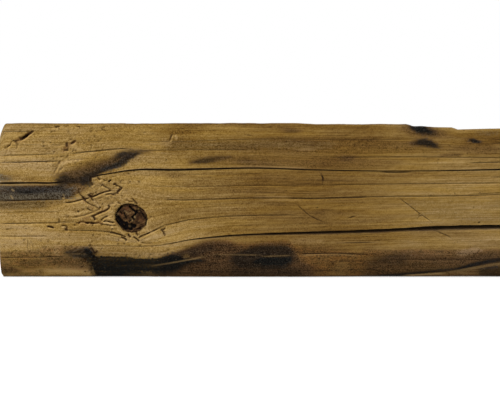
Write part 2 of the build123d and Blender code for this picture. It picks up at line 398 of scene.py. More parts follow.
base_y, base_z, row_face, row_label = skin()
base_x = np.repeat(columns[:, None], base_y.shape[1], axis=1)
is_front = row_face == "front"
is_fore = is_front | (row_face == "front_arris")
is_top = row_face == "top"
is_back = row_face == "back"
is_under = row_face == "under"


def outward():
    """Outward direction across the beam at each point, from its neighbours round the section."""
    dy = np.roll(base_y, -1, axis=1) - np.roll(base_y, 1, axis=1)
    dz = np.roll(base_z, -1, axis=1) - np.roll(base_z, 1, axis=1)
    length = np.hypot(dy, dz)
    return -dz / length, dy / length


# Checks open the skin: rows beside a check move apart, and its root rows go in

inset = np.zeros_like(base_x)
shift = np.zeros_like(base_x)
# Painted shade inside each check (above 0) and a painted highlight on its lower lip (below 0)
check_shade_and_highlight = np.zeros_like(base_x)


CHECK_END = 12.0
CHECK_REACH = 9.0
FULL_DEPTH_WIDTH = 2.6


def open_check(rows, centre, widths, depth, lean, seed):
    """Opens one check among the rows of a face. centre is the label that the check runs along."""
    x = columns
    width = curve(widths, x) * eased((x - widths[0][0]) / CHECK_END + (widths[0][1] > 0))
    width = width * eased((widths[-1][0] - x) / CHECK_END + (widths[-1][1] > 0))
    ragged = 1 + 0.16 * noise(x / 9, 0.5, seed) + 0.1 * noise(x / 3, 0.5, seed + 1)
    width = np.maximum(width, 0) * ragged
    deep = depth * np.clip(width / FULL_DEPTH_WIDTH, 0, 1) ** 0.7
    for j in np.flatnonzero(rows):
        off = row_label[j] - centre
        side = 1 if off > 0 else -1
        near = abs(off)
        if near > CHECK_REACH:
            continue
        if near <= CHECK_ROWS[0] + 0.01:
            shift[:, j] += side * width * ROOT_SHARE / 2 + lean * deep / depth
            inset[:, j] += deep
            # Painted shade inside the check, darker the wider it opens
            check_shade_and_highlight[:, j] = np.maximum(check_shade_and_highlight[:, j], np.clip(width * 1.6, 0, 1))
        else:
            shift[:, j] += side * width / 2 * (1 - eased((near - 1) / 8))
        # Painted highlight on the lower lip of the check
        if off < 0 and CHECK_ROWS[1] + 0.01 < near < CHECK_ROWS[2] + 0.01:
            check_shade_and_highlight[:, j] -= np.clip(width, 0, 1)


top_widths = [(x, width) for x, _, width in TOP_CHECK]
back_widths = [(x, width) for x, _, width in BACK_CHECK]
# A check: its face, the label it runs along, widths, depth, how far its root leans aside, seed
for check in (
    (is_front, MAIN_LABEL, MAIN_WIDTHS, 40, 17, 101),
    (is_front, UPPER_LABEL, UPPER_WIDTHS, 18, -5, 103),
    (is_front, UPPER_LABEL, LEFT_WIDTHS, 14, -3, 105),
    (is_front, RIGHT_LABEL, RIGHT_WIDTHS, 34, -7, 107),
    (is_top, TOP_START + TOP_RUN * TOP_CHECK_SHARE, top_widths, 36, -3, 109),
    (is_back, BACK_START + BACK_RUN * BACK_CHECK_SHARE, back_widths, 34, 7, 111),
):
    open_check(*check)

out_y, out_z = outward()
place_y, place_z = base_y.copy(), base_z.copy()
place_z[:, is_front] += shift[:, is_front]
place_y[:, is_top] += shift[:, is_top]
place_z[:, is_back] -= shift[:, is_back]

# The knot in its own coordinates, in which its rim is the circle of radius 1. Points deeper behind
# the face than KNOT_DEEP count as ever further from it.

KNOT_DEEP, KNOT_FADE = 14.0, 8.0
turn = radians(KNOT_TILT)
gone_x = shown_x(base_x) - KNOT_FROM_LEFT
gone_z = place_z - KNOT_UP
knot_x = (gone_x * cos(turn) + gone_z * sin(turn)) / (KNOT_WIDTH / 2)
knot_z = (-gone_x * sin(turn) + gone_z * cos(turn)) / (KNOT_HEIGHT / 2)
knot_away = np.maximum(place_y + DEPTH / 2 - KNOT_DEEP, 0) / KNOT_FADE
knot_turn = np.arctan2(knot_z, knot_x)
KNOT_WAVES = [(0.022, 2, 0.6), (0.02, 3, 2.2), (0.016, 5, 0.4)]
uneven = 1 + sum(a * np.sin(k * knot_turn + start) for a, k, start in KNOT_WAVES)
knot_x, knot_z = knot_x * uneven, knot_z * uneven
knot_r = np.sqrt(knot_x**2 + knot_z**2) + knot_away

# Rows and columns close to the rim are drawn in to it, so that the gap round the knot is sharp
RIM_REACH, RIM_PULL = 0.1, 0.25
off_rim = knot_r - 1
pull = np.where(np.abs(off_rim) < RIM_REACH, RIM_PULL, 1.0)
outer = (np.abs(off_rim) >= RIM_REACH) & (np.abs(off_rim) < 3 * RIM_REACH)
eased_back = RIM_PULL * RIM_REACH + (np.abs(off_rim) - RIM_REACH) * (3 - RIM_PULL) / 2
new_off = np.where(outer, np.sign(off_rim) * eased_back, off_rim * pull)
scale = np.where(knot_r > 0.2, (1 + new_off) / np.maximum(knot_r, 0.2), 1.0)
scale = np.where(is_front[None, :] & (knot_r < 1.3), scale, 1.0)
place_x = base_x + gone_x * (scale - 1)
face_x = shown_x(place_x)
place_z = KNOT_UP + gone_z * scale
knot_x, knot_z, knot_r = knot_x * scale, knot_z * scale, np.where(scale != 1, 1 + new_off, knot_r)

# Lines on the faces, each in a channel whose lines keep clear of each other.
# A line: half width, strength, then (from_left, down) points.

FRONT_LINES = {
    "long": [
        (0.45, 0.7, [(0, 155.6), (30, 155), (56, 153.8)]),
        (0.55, 0.95, [(71, 153.6), (80, 153), (84, 152.2), (96, 151.2), (104, 150.2), (128, 148.3)]),
        (0.45, 0.55, [(128, 152), (145, 151), (163, 150.4), (199, 149.9), (250, 149.8)]),
        (0.4, 0.45, [(143, 141.4), (175, 141.9), (250, 139.2), (362, 139.8), (420, 139)]),
        (0.5, 0.6, [(329, 157.5), (370, 157.2), (420, 157), (500, 157.8), (610, 157)]),
        (0.45, 0.45, [(150, 186.2), (199, 186.5), (250, 185.5), (330, 184.9)]),
        (0.5, 0.6, [(328, 185), (362, 184.5), (430, 183.6), (500, 183), (640, 181)]),
        (0.45, 0.7, [(137, 237), (151.5, 231.9), (164, 225.6), (188, 219.9), (223, 216.4), (250, 215.5),
            (294, 214.9)]),
        (0.4, 0.65, [(0, 236.4), (25, 236.3), (49, 236)]),
        (0.5, 0.8, [(64, 230), (80, 230.4), (96, 230.8), (112, 232.4), (120, 234.6), (128, 238)]),
        (0.5, 0.85, [(-2, 257.6), (40, 257.5), (61, 256.8)]),
        (0.6, 0.9, [(299, 254), (320, 253.2), (336, 253), (352, 254), (367, 254.5)]),
        (0.45, 0.6, [(390, 259.8), (440, 259.8), (500, 259.8), (570, 259)]),
        (0.45, 0.65, [(0, 131.6), (14, 131.4), (30, 131.8)]), (0.4, 0.4, [(330, 139.6), (380, 139.8)]),
        (0.4, 0.35, [(0, 212.5), (60, 211.6)]),
    ],
    "long_too": [
        (0.5, 0.95, [(0, 162.7), (20, 162.3), (40, 161.6), (60, 161.2)]),
        (0.4, 0.5, [(64, 160.9), (76, 159.6), (88, 158.8)]),
        (0.5, 0.75, [(164, 199.4), (183, 200.1), (250, 198.1), (285, 198.2)]),
        (0.65, 0.9, [(285, 198.3), (314, 198.5), (362, 197.2), (370, 196.7)]),
        (0.5, 0.7, [(366, 196.8), (425, 196.3), (465, 195.7), (500, 194.6), (590, 192)]),
        (0.65, 0.95, [(0, 201), (20, 200.4), (32, 199.9), (62, 199.5)]),
        (0.45, 0.65, [(62, 202.8), (72, 201.8), (86, 198.4), (100, 193.8), (110.6, 191.2)]),
        (0.5, 0.85, [(0, 223.6), (30, 223.2), (56, 222.8), (70, 222.6), (86, 222.8), (102, 224),
            (112, 226)]),
        (0.4, 0.5, [(88, 246), (115, 245.9), (140, 246.6), (160, 245.6), (177, 242.6)]),
        (0.5, 0.7, [(340, 243.2), (352, 242.9), (372, 242.6)]),
        (0.6, 0.85, [(380, 172.3), (395, 172.6), (411, 172.2)]),
        (0.4, 0.5, [(336, 261.4), (366, 261.2)]), (0.4, 0.5, [(446, 155.6), (464, 155)]),
        (0.4, 0.35, [(0, 146), (40, 144.5)]), (0.4, 0.4, [(180, 175), (260, 173.6)]),
        (0.4, 0.45, [(262, 251.6), (290, 255.2)]), (0.4, 0.3, [(230, 226), (330, 223.6)]),
    ],
    # Pale threads of the wood, and painted highlights on the lips beside some checks and lines
    "pale_lines": [
        (0.7, 0.3, [(150, 266.5), (165, 264.2), (180, 261.4), (195, 258.5), (206, 256.2)]),
        (0.5, 0.22, [(214, 254.7), (238, 254.7), (260, 255.1)]),
        (0.5, 0.3, [(262, 256.4), (275, 256), (291, 255.4)]),
        (0.9, 0.85, [(406, 276.6), (430, 275.4), (448, 274.2)]),
        (1.3, 0.3, [(448, 274.2), (458, 272), (470, 269.6), (480, 267.8), (490, 266), (500, 264.6),
            (525, 261)]),
        (0.7, 0.3, [(456, 274.2), (470, 274.4), (484, 274)]),
        (0.6, 0.4, [(458, 245.4), (470, 243.6), (484, 243.2)]),
        (0.6, 0.2, [(67, 254.3), (76, 254.1), (84, 254.2)]),
        (0.7, 0.4, [(-2, 185.1), (30, 185), (58, 184.8)]),
        (0.6, 0.45, [(253, 197), (275, 196.8), (290, 196.4)]),
        (0.6, 0.4, [(262, 200), (285, 200.2), (304, 200.4)]),
        (0.6, 0.4, [(228, 166.8), (250, 166.6), (282, 167.2), (306, 168.2)]),
        (0.6, 0.4, [(140, 146.6), (150, 144.6), (162, 144)]),
        (1.2, 0.3, [(297, 150), (306, 149.4), (316, 149.6)]),
        (0.8, 0.3, [(335, 242.4), (352, 242.1), (384, 242.2)]),
        (0.8, 0.25, [(300, 255.4), (325, 254.6), (345, 254.8), (360, 256)]),
        (0.6, 0.3, [(455, 231), (470, 230.6), (500, 229.8)]),
    ],
    "marks": [
        (0.9, 0.9, [(90, 245.8), (92, 249), (93.6, 252), (96, 255.6)]),
        (0.5, 0.6, [(102.6, 246.2), (101.6, 248.4), (100.6, 250)]),
        (0.5, 0.45, [(27, 239), (27.6, 243), (26.6, 247), (28, 251)]),
        (0.4, 0.4, [(32, 243), (32.6, 247), (32.2, 252)]), (0.6, 0.6, [(40, 252.6), (43, 255.4)]),
        (0.45, 0.5, [(475, 257), (478, 253), (481, 249.8)]), (0.45, 0.5, [(363, 266), (367, 261.4)]),
        (0.9, 0.95, [(321.2, 174.2), (323.2, 178), (322.6, 182.8)]),
        (0.45, 0.7, [(296, 203.6), (302, 209), (308, 214.5), (313.6, 217.8), (324.6, 222.4)]),
        (0.45, 0.7, [(399.2, 198), (407, 203.6), (421.2, 214.5), (432.2, 221.8)]),
        (0.5, 0.75, [(434.4, 230.8), (440, 232.4), (446, 235), (451.2, 237.4)]),
        (0.6, 0.85, [(348.6, 218), (352, 217), (355.6, 216)]), (0.5, 0.5, [(491, 177.2), (506, 177)]),
        (0.6, 0.7, [(246, 135.3), (251.4, 135.6)]), (0.5, 0.5, [(417, 218.5), (420.6, 215)]),
    ],
}

# Pits: (from_left, down, half length, half height, turn, depth, darkness of their painted shade)
PITS = [
    (25, 136.4, 6, 1.6, 33, 2.6, 0.55), (166.2, 159.8, 1.1, 1.1, 0, 0.8, 0.55),
    (480, 222.3, 1.7, 1.2, 30, 1.6, 0.75), (430.3, 195.3, 0.9, 0.8, 0, 1.2, 0.7),
    (317.4, 207.6, 1.6, 1, 30, 0.9, 0.45), (480.6, 192.6, 0.8, 0.8, 0, 1, 0.5),
    (255.6, 148.6, 0.9, 0.7, 0, 1, 0.5), (157.2, 240.6, 0.8, 0.7, 0, 1, 0.5),
    (118.5, 240.4, 1, 0.6, 0, 1, 0.6), (152.6, 243.8, 0.7, 0.6, 0, 1, 0.5),
]


# What a place with no line, and one with no stain, has: signed distance, half width and strength,
# and distance in from the edge, strength and softness
NO_LINE = (6.0, 0.5, 0.0)
NO_STAIN = (-12.0, 0.5, 3.0)


def segment_fields(x, height, lines, reach):
    """Signed distance to the nearest line, its half width and its strength, at each place."""
    near, signed, half, strength = filled(x.shape, NO_LINE[0], *NO_LINE)
    for half_width, dark, points in lines:
        total = sum(np.hypot(b[0] - a[0], b[1] - a[1]) for a, b in zip(points, points[1:]))
        taper = min(7.0, 0.3 * total)
        gone = 0.0
        for (ax, az), (bx, bz) in zip(points, points[1:]):
            run = np.hypot(bx - ax, bz - az)
            ux, uz = (bx - ax) / run, (bz - az) / run
            along = (x - ax) * ux + (height - az) * uz
            t = np.clip(along, 0, run)
            side = (height - az) * ux - (x - ax) * uz
            away = np.hypot(x - ax - t * ux, height - az - t * uz)
            closer = away < near
            near = np.where(closer, away, near)
            signed = np.where(closer, np.where(side < 0, -away, away), signed)
            half = np.where(closer, half_width, half)
            here = np.minimum(gone + t, total - gone - t)
            here = dark * (0.35 + 0.65 * eased(here / taper)) * (away < reach)
            strength = np.where(closer, here, strength)
            gone += run
    return signed, half, strength


# Stains. A band: softness of its edge or of its upper and lower ones, most strength, then
# (from_left, top, bottom) with both down. The kinds are painted in this order.

FRONT_STAINS = {
    "brown": [
        (3, 0.62, [(-5, 251, 263), (30, 250, 263), (45, 248, 262), (66, 246, 262), (92, 247, 262)]),
        (2.5, 0.68, [(-5, 257, 273), (15, 257.5, 274), (25, 257.5, 271), (42, 257.5, 269.5),
            (88, 257.5, 270.5)]),
        (3, 0.5, [(10, 268, 280), (24, 268, 280), (36, 268, 278), (44, 268, 274)]),
        (2, 0.85, [(-5, 185, 201), (40, 184, 200.6), (60, 183, 200), (70, 183, 198.6), (78, 183, 194),
            (86, 184, 189)]),
        (3, 0.62, [(-5, 200, 208.6), (20, 200, 209), (45, 200, 208), (62, 200, 204)]),
        ((5, 3), 0.75, [(58, 173, 192), (70, 168.5, 191), (78, 165, 189), (88, 161.5, 184),
            (98, 159.5, 176), (108, 157.5, 171.6), (118, 153, 167), (128, 150.3, 160),
            (140, 149.8, 154.4), (152, 150.6, 153)]),
        (4, 0.95, [(158, 258, 279), (175, 252, 279), (190, 245.6, 279), (205, 241, 279),
            (225, 240, 279), (240, 243, 279), (252, 243, 279), (275, 241, 279), (290, 242, 279),
            (300, 250, 279), (312, 262, 279), (330, 268, 279)]),
        (3, 0.6, [(292, 245, 252), (312, 246, 250.5), (335, 247.5, 250.5)]),
        (4, 0.8, [(292, 246, 279), (315, 248.6, 279), (335, 250, 279), (372, 254, 279)]),
        (3, 0.4, [(346, 268, 279), (360, 269, 279), (376, 269, 279)]),
        (2, 0.78, [(361, 254, 279), (367, 250, 279), (380, 250, 279), (392, 250, 279),
            (420, 249.4, 279), (455, 250, 279), (478, 250, 279), (500, 249, 279), (560, 252, 279)]),
        (2, 0.7, [(362, 250.5, 256), (370, 249, 255), (380, 250, 253.5)]),
        (2, 0.6, [(426, 250.5, 254.5), (445, 250, 254), (460, 250, 254)]),
        (4, 0.5, [(187, 155, 165), (215, 155, 165), (236, 155.5, 165), (260, 158, 164)]),
        (3, 0.5, [(232, 158, 165), (246, 158, 165), (258, 159, 163)]),
        (2.4, 0.6, [(282, 128, 134), (292, 128.5, 134), (302, 130, 133)]),
        (4, 0.7, [(400, 120, 130), (412, 121, 136), (426, 121, 138), (438, 128, 138), (448, 132, 137)]),
        (3, 0.6, [(398, 142.5, 146), (412, 141, 147), (424, 138, 148), (440, 142, 149)]),
        (3, 0.5, [(360, 138, 143), (370, 137, 143.5), (380, 138.5, 142.5)]),
        (3, 0.6, [(336, 154, 162), (347, 154.5, 162), (358, 155.5, 160)]),
        (2, 0.7, [(440, 154, 157.5), (452, 153, 157), (462, 153.6, 156.6)]),
        (2, 0.6, [(462, 146.5, 150), (466, 146.5, 150), (470, 147.5, 149)]),
        (2.5, 0.42, [(466, 138, 144), (474, 138, 145), (483, 141, 145)]),
        (5, 0.4, [(165, 141, 153), (240, 139, 154), (320, 139, 155), (420, 143, 154), (505, 145, 155),
            (560, 146, 154)]),
        (5, 0.5, [(240, 158, 168), (330, 158, 169), (370, 160, 168), (400, 162, 165)]),
        (2, 0.4, [(166, 173, 178), (176, 173, 178), (186, 174, 177)]),
        (2, 0.5, [(86, 196, 199), (92, 194, 199.5), (97, 198, 203)]),
    ],
    "dark": [
        (2.5, 0.5, [(18, 260.5, 267), (30, 260.5, 269), (42, 260, 266)]),
        (2.5, 0.5, [(44, 257.5, 264), (60, 255.5, 265.6), (74, 255, 267), (88, 256, 269)]),
        (2.5, 0.66, [(-5, 265.5, 276), (3, 266, 276), (8, 267, 275), (14, 269, 274), (17, 271, 273)]),
        (2.4, 0.5, [(12, 189, 192), (30, 188, 194.5), (56, 186, 192), (68, 185, 196), (75, 187, 194)]),
        ((3.5, 2), 0.75, [(57, 176, 187), (66, 173, 186), (76, 171, 184), (84, 168.5, 184),
            (92, 166, 179), (100, 163.5, 174.4), (108, 160.5, 170.8), (116, 155.5, 168),
            (121, 152.5, 166.4), (128, 150.8, 161.6), (136, 150.6, 156.4), (146, 151, 153)]),
        (3, 0.66, [(64, 251.4, 255), (76, 250, 260), (86, 247.4, 267), (92, 247, 281), (98, 252, 281)]),
        (3, 0.76, [(156, 259, 277), (168, 255.5, 277), (178, 252, 276), (190, 247.5, 275.5),
            (203, 243, 275.5), (216, 242, 276), (228, 243, 276.5), (238, 246.5, 276.5),
            (246, 248, 276.5), (252, 246.5, 276.5), (260, 244.5, 276), (274, 244, 276), (286, 245, 276),
            (292, 248, 277), (300, 260, 278), (312, 268, 279)]),
        (2, 0.75, [(116, 272, 280), (140, 272.4, 280), (162, 272, 280)]),
        (3.5, 0.58, [(366, 262, 279), (378, 260, 279), (388, 256.5, 279), (396, 254.4, 279),
            (408, 253.5, 279), (430, 256, 276), (455, 257.5, 272), (480, 254, 270), (500, 252, 268),
            (540, 256, 270)]),
        (1.8, 0.75, [(190, 161, 163.4), (200, 158.6, 163.8), (212, 156.6, 163), (222, 156, 160.4),
            (232, 156.4, 158)]),
        (1.5, 0.4, [(287, 130.4, 132), (293, 129.8, 132.6), (298, 130.4, 132)]),
        (1.8, 0.85, [(409, 121, 128.6), (414, 121, 132), (420, 122, 134.6), (430, 127, 136),
            (438, 132, 135.4)]),
        (2.2, 0.85, [(410, 142.6, 144.6), (413, 141.4, 146), (417, 139.8, 146.6), (421, 139.2, 147),
            (427, 139.2, 147.2), (431, 140.2, 148), (436, 143, 148.8), (441, 145.4, 148)]),
        (1.2, 0.9, [(469, 139.2, 141), (473, 138.4, 142.8), (477, 139.6, 143.2), (481.6, 142, 144)]),
        (1.5, 0.5, [(343, 156.4, 159.8), (348, 156.2, 160), (353, 157, 159.4)]),
        (1.6, 0.4, [(240, 160, 163), (248, 160, 163.4), (256, 160.6, 162.6)]),
        (1.8, 0.3, [(450, 274, 280), (466, 273, 280), (480, 270, 280)]),
    ],
    "grey": [
        ((2.4, 4), 0.72, [(-5, 185, 192), (30, 186, 197), (52, 185.6, 193), (66, 184.6, 190)]),
        (3, 0.82, [(-5, 190, 200.6), (14, 189, 200.6), (30, 188, 201), (60, 188, 199.4),
            (72, 188, 197)]),
        (3, 0.4, [(-5, 200.5, 208), (20, 200.5, 208.4), (45, 200.5, 207)]),
        (3, 0.16, [(408, 199, 208), (430, 199, 216), (470, 200, 220), (505, 200, 220)]),
        (2.5, 0.7, [(-5, 174, 181), (3, 174.5, 181), (9, 177, 180)]),
        (2, 0.5, [(100, 168.4, 173), (112, 164.6, 169.4), (122, 160.6, 166)]),
        (1.6, 0.4, [(66, 250.2, 252.4), (78, 248, 251), (88, 245.4, 248.6)]),
        (1.6, 0.5, [(72, 254.6, 257.6), (80, 254.8, 258), (88, 255, 259)]),
        (0.9, 0.6, [(466, 266.6, 267.8), (480, 262.6, 264.2), (492, 261, 262.4), (500, 260, 261.4)]),
        (0.9, 0.5, [(484, 269.4, 271), (492, 267.8, 269.4), (500, 266.4, 268)]),
        (4, 0.22, [(165, 142, 148), (200, 142, 148), (300, 141, 148), (330, 143, 147)]),
        (2.5, 0.3, [(478, 131, 135), (490, 130.6, 134.6), (505, 130.6, 134)]),
    ],
    "char": [
        (1.2, 0.85, [(17, 191.6, 192.6), (22, 191, 193.2), (30, 190.8, 193.6), (34, 191.4, 192.6)]),
        ((2.4, 1.5), 0.72, [(84, 173.5, 183), (90, 173, 179.4), (97, 170.5, 175), (104, 167.5, 172),
            (112, 164.6, 168.8), (118, 161.5, 166.8), (124, 156.6, 165.6), (129, 153.6, 161.4),
            (134, 152, 157.6), (139, 151.4, 153.4)]),
        (1.8, 0.75, [(117, 153.6, 158), (122, 151.8, 157), (128, 151, 154), (136, 150.8, 152.6)]),
        (2, 0.7, [(55, 180, 185), (60, 176.6, 185.4), (66, 176, 184), (73, 178.5, 184),
            (79, 177.5, 184)]),
        (1.6, 0.8, [(79, 177.4, 183), (84, 176.4, 185.2), (88, 176.2, 186), (91.4, 178.4, 186)]),
        ((3, 3), 0.6, [(10, 188.6, 191), (20, 187.6, 193.4), (32, 187.4, 193.4), (50, 186.4, 190.6),
            (64, 184.4, 189)]),
        ((1.3, 5), 1, [(83, 250, 255), (87, 248.2, 262), (90.5, 250.4, 266), (95, 255.6, 279),
            (104, 256.4, 284), (112, 256.6, 284)]),
        ((1.3, 3.5), 1, [(97, 256, 282), (104, 256.2, 282), (116, 256.7, 281), (126, 256.7, 276),
            (136, 258, 275), (150, 258.4, 273.6), (158, 258, 274), (164, 256.6, 273.6),
            (170, 255, 272.6), (178, 255.4, 270), (186, 259, 266), (196, 259.8, 263),
            (204, 260, 261.4)]),
        (2.2, 0.7, [(66, 251.6, 254.6), (76, 250.8, 257), (82, 249.4, 258), (87, 247.4, 259),
            (91, 248, 260)]),
        (2.6, 0.5, [(166, 255, 262), (180, 252, 262), (192, 248.5, 258), (206, 246, 252),
            (214, 246, 250)]),
        (2.5, 0.74, [(232, 255, 262), (240, 252, 268), (250, 247.4, 268), (262, 246, 269),
            (276, 246.4, 269), (288, 247, 267), (293, 251, 262)]),
        (2.5, 0.4, [(232, 265, 279), (246, 266, 279), (270, 266, 279), (288, 266, 279),
            (298, 270, 279)]),
        (1.2, 1, [(253, 261, 263.5), (258, 258.5, 264.4), (266, 257.4, 265.4), (276, 257.2, 265.6),
            (286, 256.8, 265), (291, 256.4, 261)]),
        (3, 0.4, [(372, 258, 264), (384, 255.5, 264), (396, 254, 265), (406, 256, 264)]),
        (1.4, 0.86, [(380, 275.6, 280), (400, 274.2, 280), (418, 272.6, 276.4), (440, 270.8, 273.4),
            (456, 269.4, 271.2), (464, 267, 270.6), (472, 264, 268), (482, 261.6, 265.6),
            (492, 259.6, 263), (500, 258.6, 262), (530, 256, 260)]),
        (1.8, 0.66, [(480, 270.4, 273), (486, 268.8, 279), (492, 268, 280), (500, 267.6, 280),
            (530, 267, 280)]),
        (2, 0.95, [(412, 121, 127), (414, 121, 130), (418, 121, 132.4), (423, 124, 133.2),
            (428, 129.6, 133.8), (432, 131.6, 134.4)]),
        (1.5, 0.8, [(416, 141.6, 144.6), (419, 140.2, 145.4), (423, 139.8, 146), (428, 140.2, 146.6),
            (432, 142, 147.4), (438, 145.2, 147.8)]),
        (1, 0.85, [(470, 139.6, 141), (473, 138.8, 142.2), (477, 140, 142.8), (480.6, 142.2, 143.4)]),
        (1.5, 0.5, [(194, 160.8, 163), (203, 159.4, 163.2), (213, 158.8, 161.4)]),
    ],
    "tan": [
        (1.4, 0.35, [(182.6, 254.8, 257.4), (186, 254.2, 258.2), (190.6, 255.2, 258)]),
        (2.5, 0.4, [(336, 262, 277), (342, 261, 277), (350, 263, 274)]),
        (2, 0.1, [(300, 255.5, 262), (315, 255.5, 263), (330, 256.5, 262)]),
    ],
    "light": [
        (2.4, 0.5, [(459, 251.6, 255), (464, 250, 255.4), (470, 248, 254.6), (476, 247.6, 253),
            (480, 248.4, 251.6)]),
        (1.4, 0.45, [(52.6, 246, 250), (55, 244, 256), (58, 247, 256)]),
        (1.6, 0.35, [(163, 138.4, 146), (168, 140, 147), (171, 144, 147)]),
        (2.6, 0.25, [(293, 238.4, 243), (308, 238.8, 244.6), (320, 240, 244)]),
        (1, 0.4, [(60, 162, 165), (70, 160, 162.6), (82, 158.6, 161)]),
    ],
}
KINDS = list(FRONT_STAINS)


def band_field(x, height, bands):
    """Distance in from the edge of the strongest band at each place, its strength and softness."""
    best, depth, strength, softness = filled(x.shape, -9.0, *NO_STAIN)
    for soft, most, points in bands:
        soft_top, soft_low = soft if isinstance(soft, tuple) else (soft, soft)
        top = curve([(a, t) for a, t, _ in points], x)
        low = curve([(a, b) for a, _, b in points], x)
        beyond = np.maximum(points[0][0] - x, x - points[-1][0])
        here = np.where(top - height < height - low, soft_top, soft_low)
        inside = np.minimum(np.minimum(height - low, top - height), -0.5 * beyond)
        inside = np.clip(inside, NO_STAIN[0], 2 * here)
        weight = most * eased((inside / here + 0.75) / 1.5) + 0.01 * inside / here
        better = weight > best
        best = np.where(better, weight, best)
        depth = np.where(better, inside, depth)
        strength = np.where(better, most, strength)
        softness = np.where(better, here, softness)
    return depth, strength, softness


# What the photograph doesn't show gets more of the same: fine lines and stains along the grain.
# A span: left, right, then low and high across the face.

FACE_SPANS = {
    "front": (SHOWN + 20, LENGTH, 0, 155),
    "top": (0, LENGTH, 0, 155),
    "back": (0, LENGTH, 0, 155),
    "under": (0, LENGTH, 12, 155),
}


def made_up_lines(face, seed, count):
    """Fine lines along the grain, kept apart from each other."""
    rng = np.random.default_rng(seed)
    left, right, low, high = FACE_SPANS[face]
    taken, lines = [], []
    for _ in range(count * 6):
        start = rng.uniform(left - 60, right - 40)
        end = start + rng.uniform(50, 420)
        level = rng.uniform(low + 6, high - 6)
        half, dark = rng.uniform(0.4, 0.7), rng.uniform(0.35, 0.9)
        if any(abs(level - c) < 9 and start < b + 10 and end > a - 10 for a, b, c in taken):
            continue
        taken.append((start, end, level))
        wander = rng.uniform(-1.2, 1.2, 5)
        places = np.linspace(start, end, 5)
        lines.append((half, dark, [(px, level + w) for px, w in zip(places, wander)]))
        if len(lines) == count:
            break
    return lines


def along_grain(lines):
    """Front lines given by grain label, turned into heights."""
    turned = []
    for half, dark, points in lines:
        px = np.array([p[0] for p in points])
        labels = np.clip([p[1] for p in points], 2, TOP_LABEL - 2)
        heights = [grain_height(np.array([a]), np.array([b]))[0, 0] for a, b in zip(px, labels)]
        turned.append((half, dark, list(zip(px, heights))))
    return turned


def made_up_bands(face, seed, count, soft, most, size):
    """Stains drawn out along the grain."""
    rng = np.random.default_rng(seed)
    left, right, low, high = FACE_SPANS[face]
    bands = []
    for _ in range(count):
        middle = rng.uniform(left, right)
        level = rng.uniform(low, high)
        reach, half = rng.uniform(*size[0]), rng.uniform(*size[1])
        tilt = rng.uniform(-0.04, 0.04)
        points = []
        for share in np.linspace(-1, 1, 5):
            here = half * (1 - share**2) * rng.uniform(0.7, 1.2)
            centre = level + tilt * reach * share
            points.append((middle + reach * share, centre + here, centre - here))
        bands.append((soft * rng.uniform(0.7, 1.4), most * rng.uniform(0.5, 1), points))
    return bands


# More stains of the front, beyond what the photograph shows; their tops and bottoms are heights
EDGE_BANDS = {
    "brown": [
        (6, 0.9, [(540, 30, -5), (640, 24, -5), (760, 36, -5), (900, 30, -5), (1010, 18, -5),
            (1130, 33, -5), (1300, 38, -5), (1420, 26, -5), (1530, 30, -5)]),
    ],
    "dark": [
        (4, 0.8, [(560, 12, -5), (680, 20, -5), (760, 30, -5), (850, 18, -5)]),
        (4, 0.8, [(1080, 10, -5), (1180, 24, -5), (1310, 30, -5), (1400, 14, -5)]),
    ],
    "grey": [
        (3, 0.7, [(600, 100, 96), (760, 104, 92), (900, 101, 96)]),
        (3, 0.6, [(1240, 128, 122), (1360, 131, 118), (1530, 129, 121)]),
    ],
    "char": [
        (2.4, 0.85, [(640, 4, -5), (720, 13, -5), (800, 17, -5), (860, 6, -5)]),
        (2.4, 0.8, [(1180, 5, -5), (1260, 14, 2), (1330, 16, -5), (1380, 5, -5)]),
    ],
}
# The dark spot at the upper right of the front goes on over the arris onto the top, this far back
TOP_OVER_EDGE = {
    "dark": [(4, 0.9, [(402, 9, -9), (418, 14, -9), (432, 10, -9), (442, 0, -9)])],
    "char": [(2.5, 0.8, [(408, 5, -9), (418, 9, -9), (430, 4, -9)])],
}
# Stains made up on each face: how many, softness, strength, ranges of half length and half width
STAIN_SIZES = {
    "brown": (16, 6, 0.55, ((60, 240), (5, 16))),
    "dark": (12, 3, 0.75, ((25, 110), (2, 8))),
    "grey": (10, 3, 0.55, ((60, 220), (3, 9))),
    "char": (7, 2, 0.75, ((12, 50), (1.5, 5))),
    "tan": (10, 4, 0.4, ((40, 160), (2, 7))),
    "light": (8, 3, 0.35, ((40, 160), (1.5, 5))),
}


def lifted(table):
    """A front table of lines with its downs turned into heights."""
    return [(half, dark, [(px, up(py)) for px, py in points]) for half, dark, points in table]


def lifted_bands(table):
    """A front table of bands with its downs turned into heights."""
    return [(soft, most, [(a, up(t), up(b)) for a, t, b in points]) for soft, most, points in table]


face_rows_of = {
    "front": is_fore,
    "top": is_top | (row_face == "back_arris"),
    "back": is_back,
    "under": is_under,
}
across_face = np.where(
    (is_top | is_under | (row_face == "back_arris"))[None, :], place_y + DEPTH / 2, place_z
)
CHANNELS = list(FRONT_LINES)
DARK_CHANNELS = ["long", "long_too", "marks"]
LINE_COUNTS = {"long": 34, "long_too": 34, "pale_lines": 6, "marks": 6}
FRONT_REACH, OTHER_REACH = 3.5, 5.9
BAND_SEED, LINE_SEED = 300, 500
stain = {kind: filled(base_x.shape, *NO_STAIN) for kind in KINDS}
lines_at = {name: filled(base_x.shape, *NO_LINE) for name in CHANNELS}

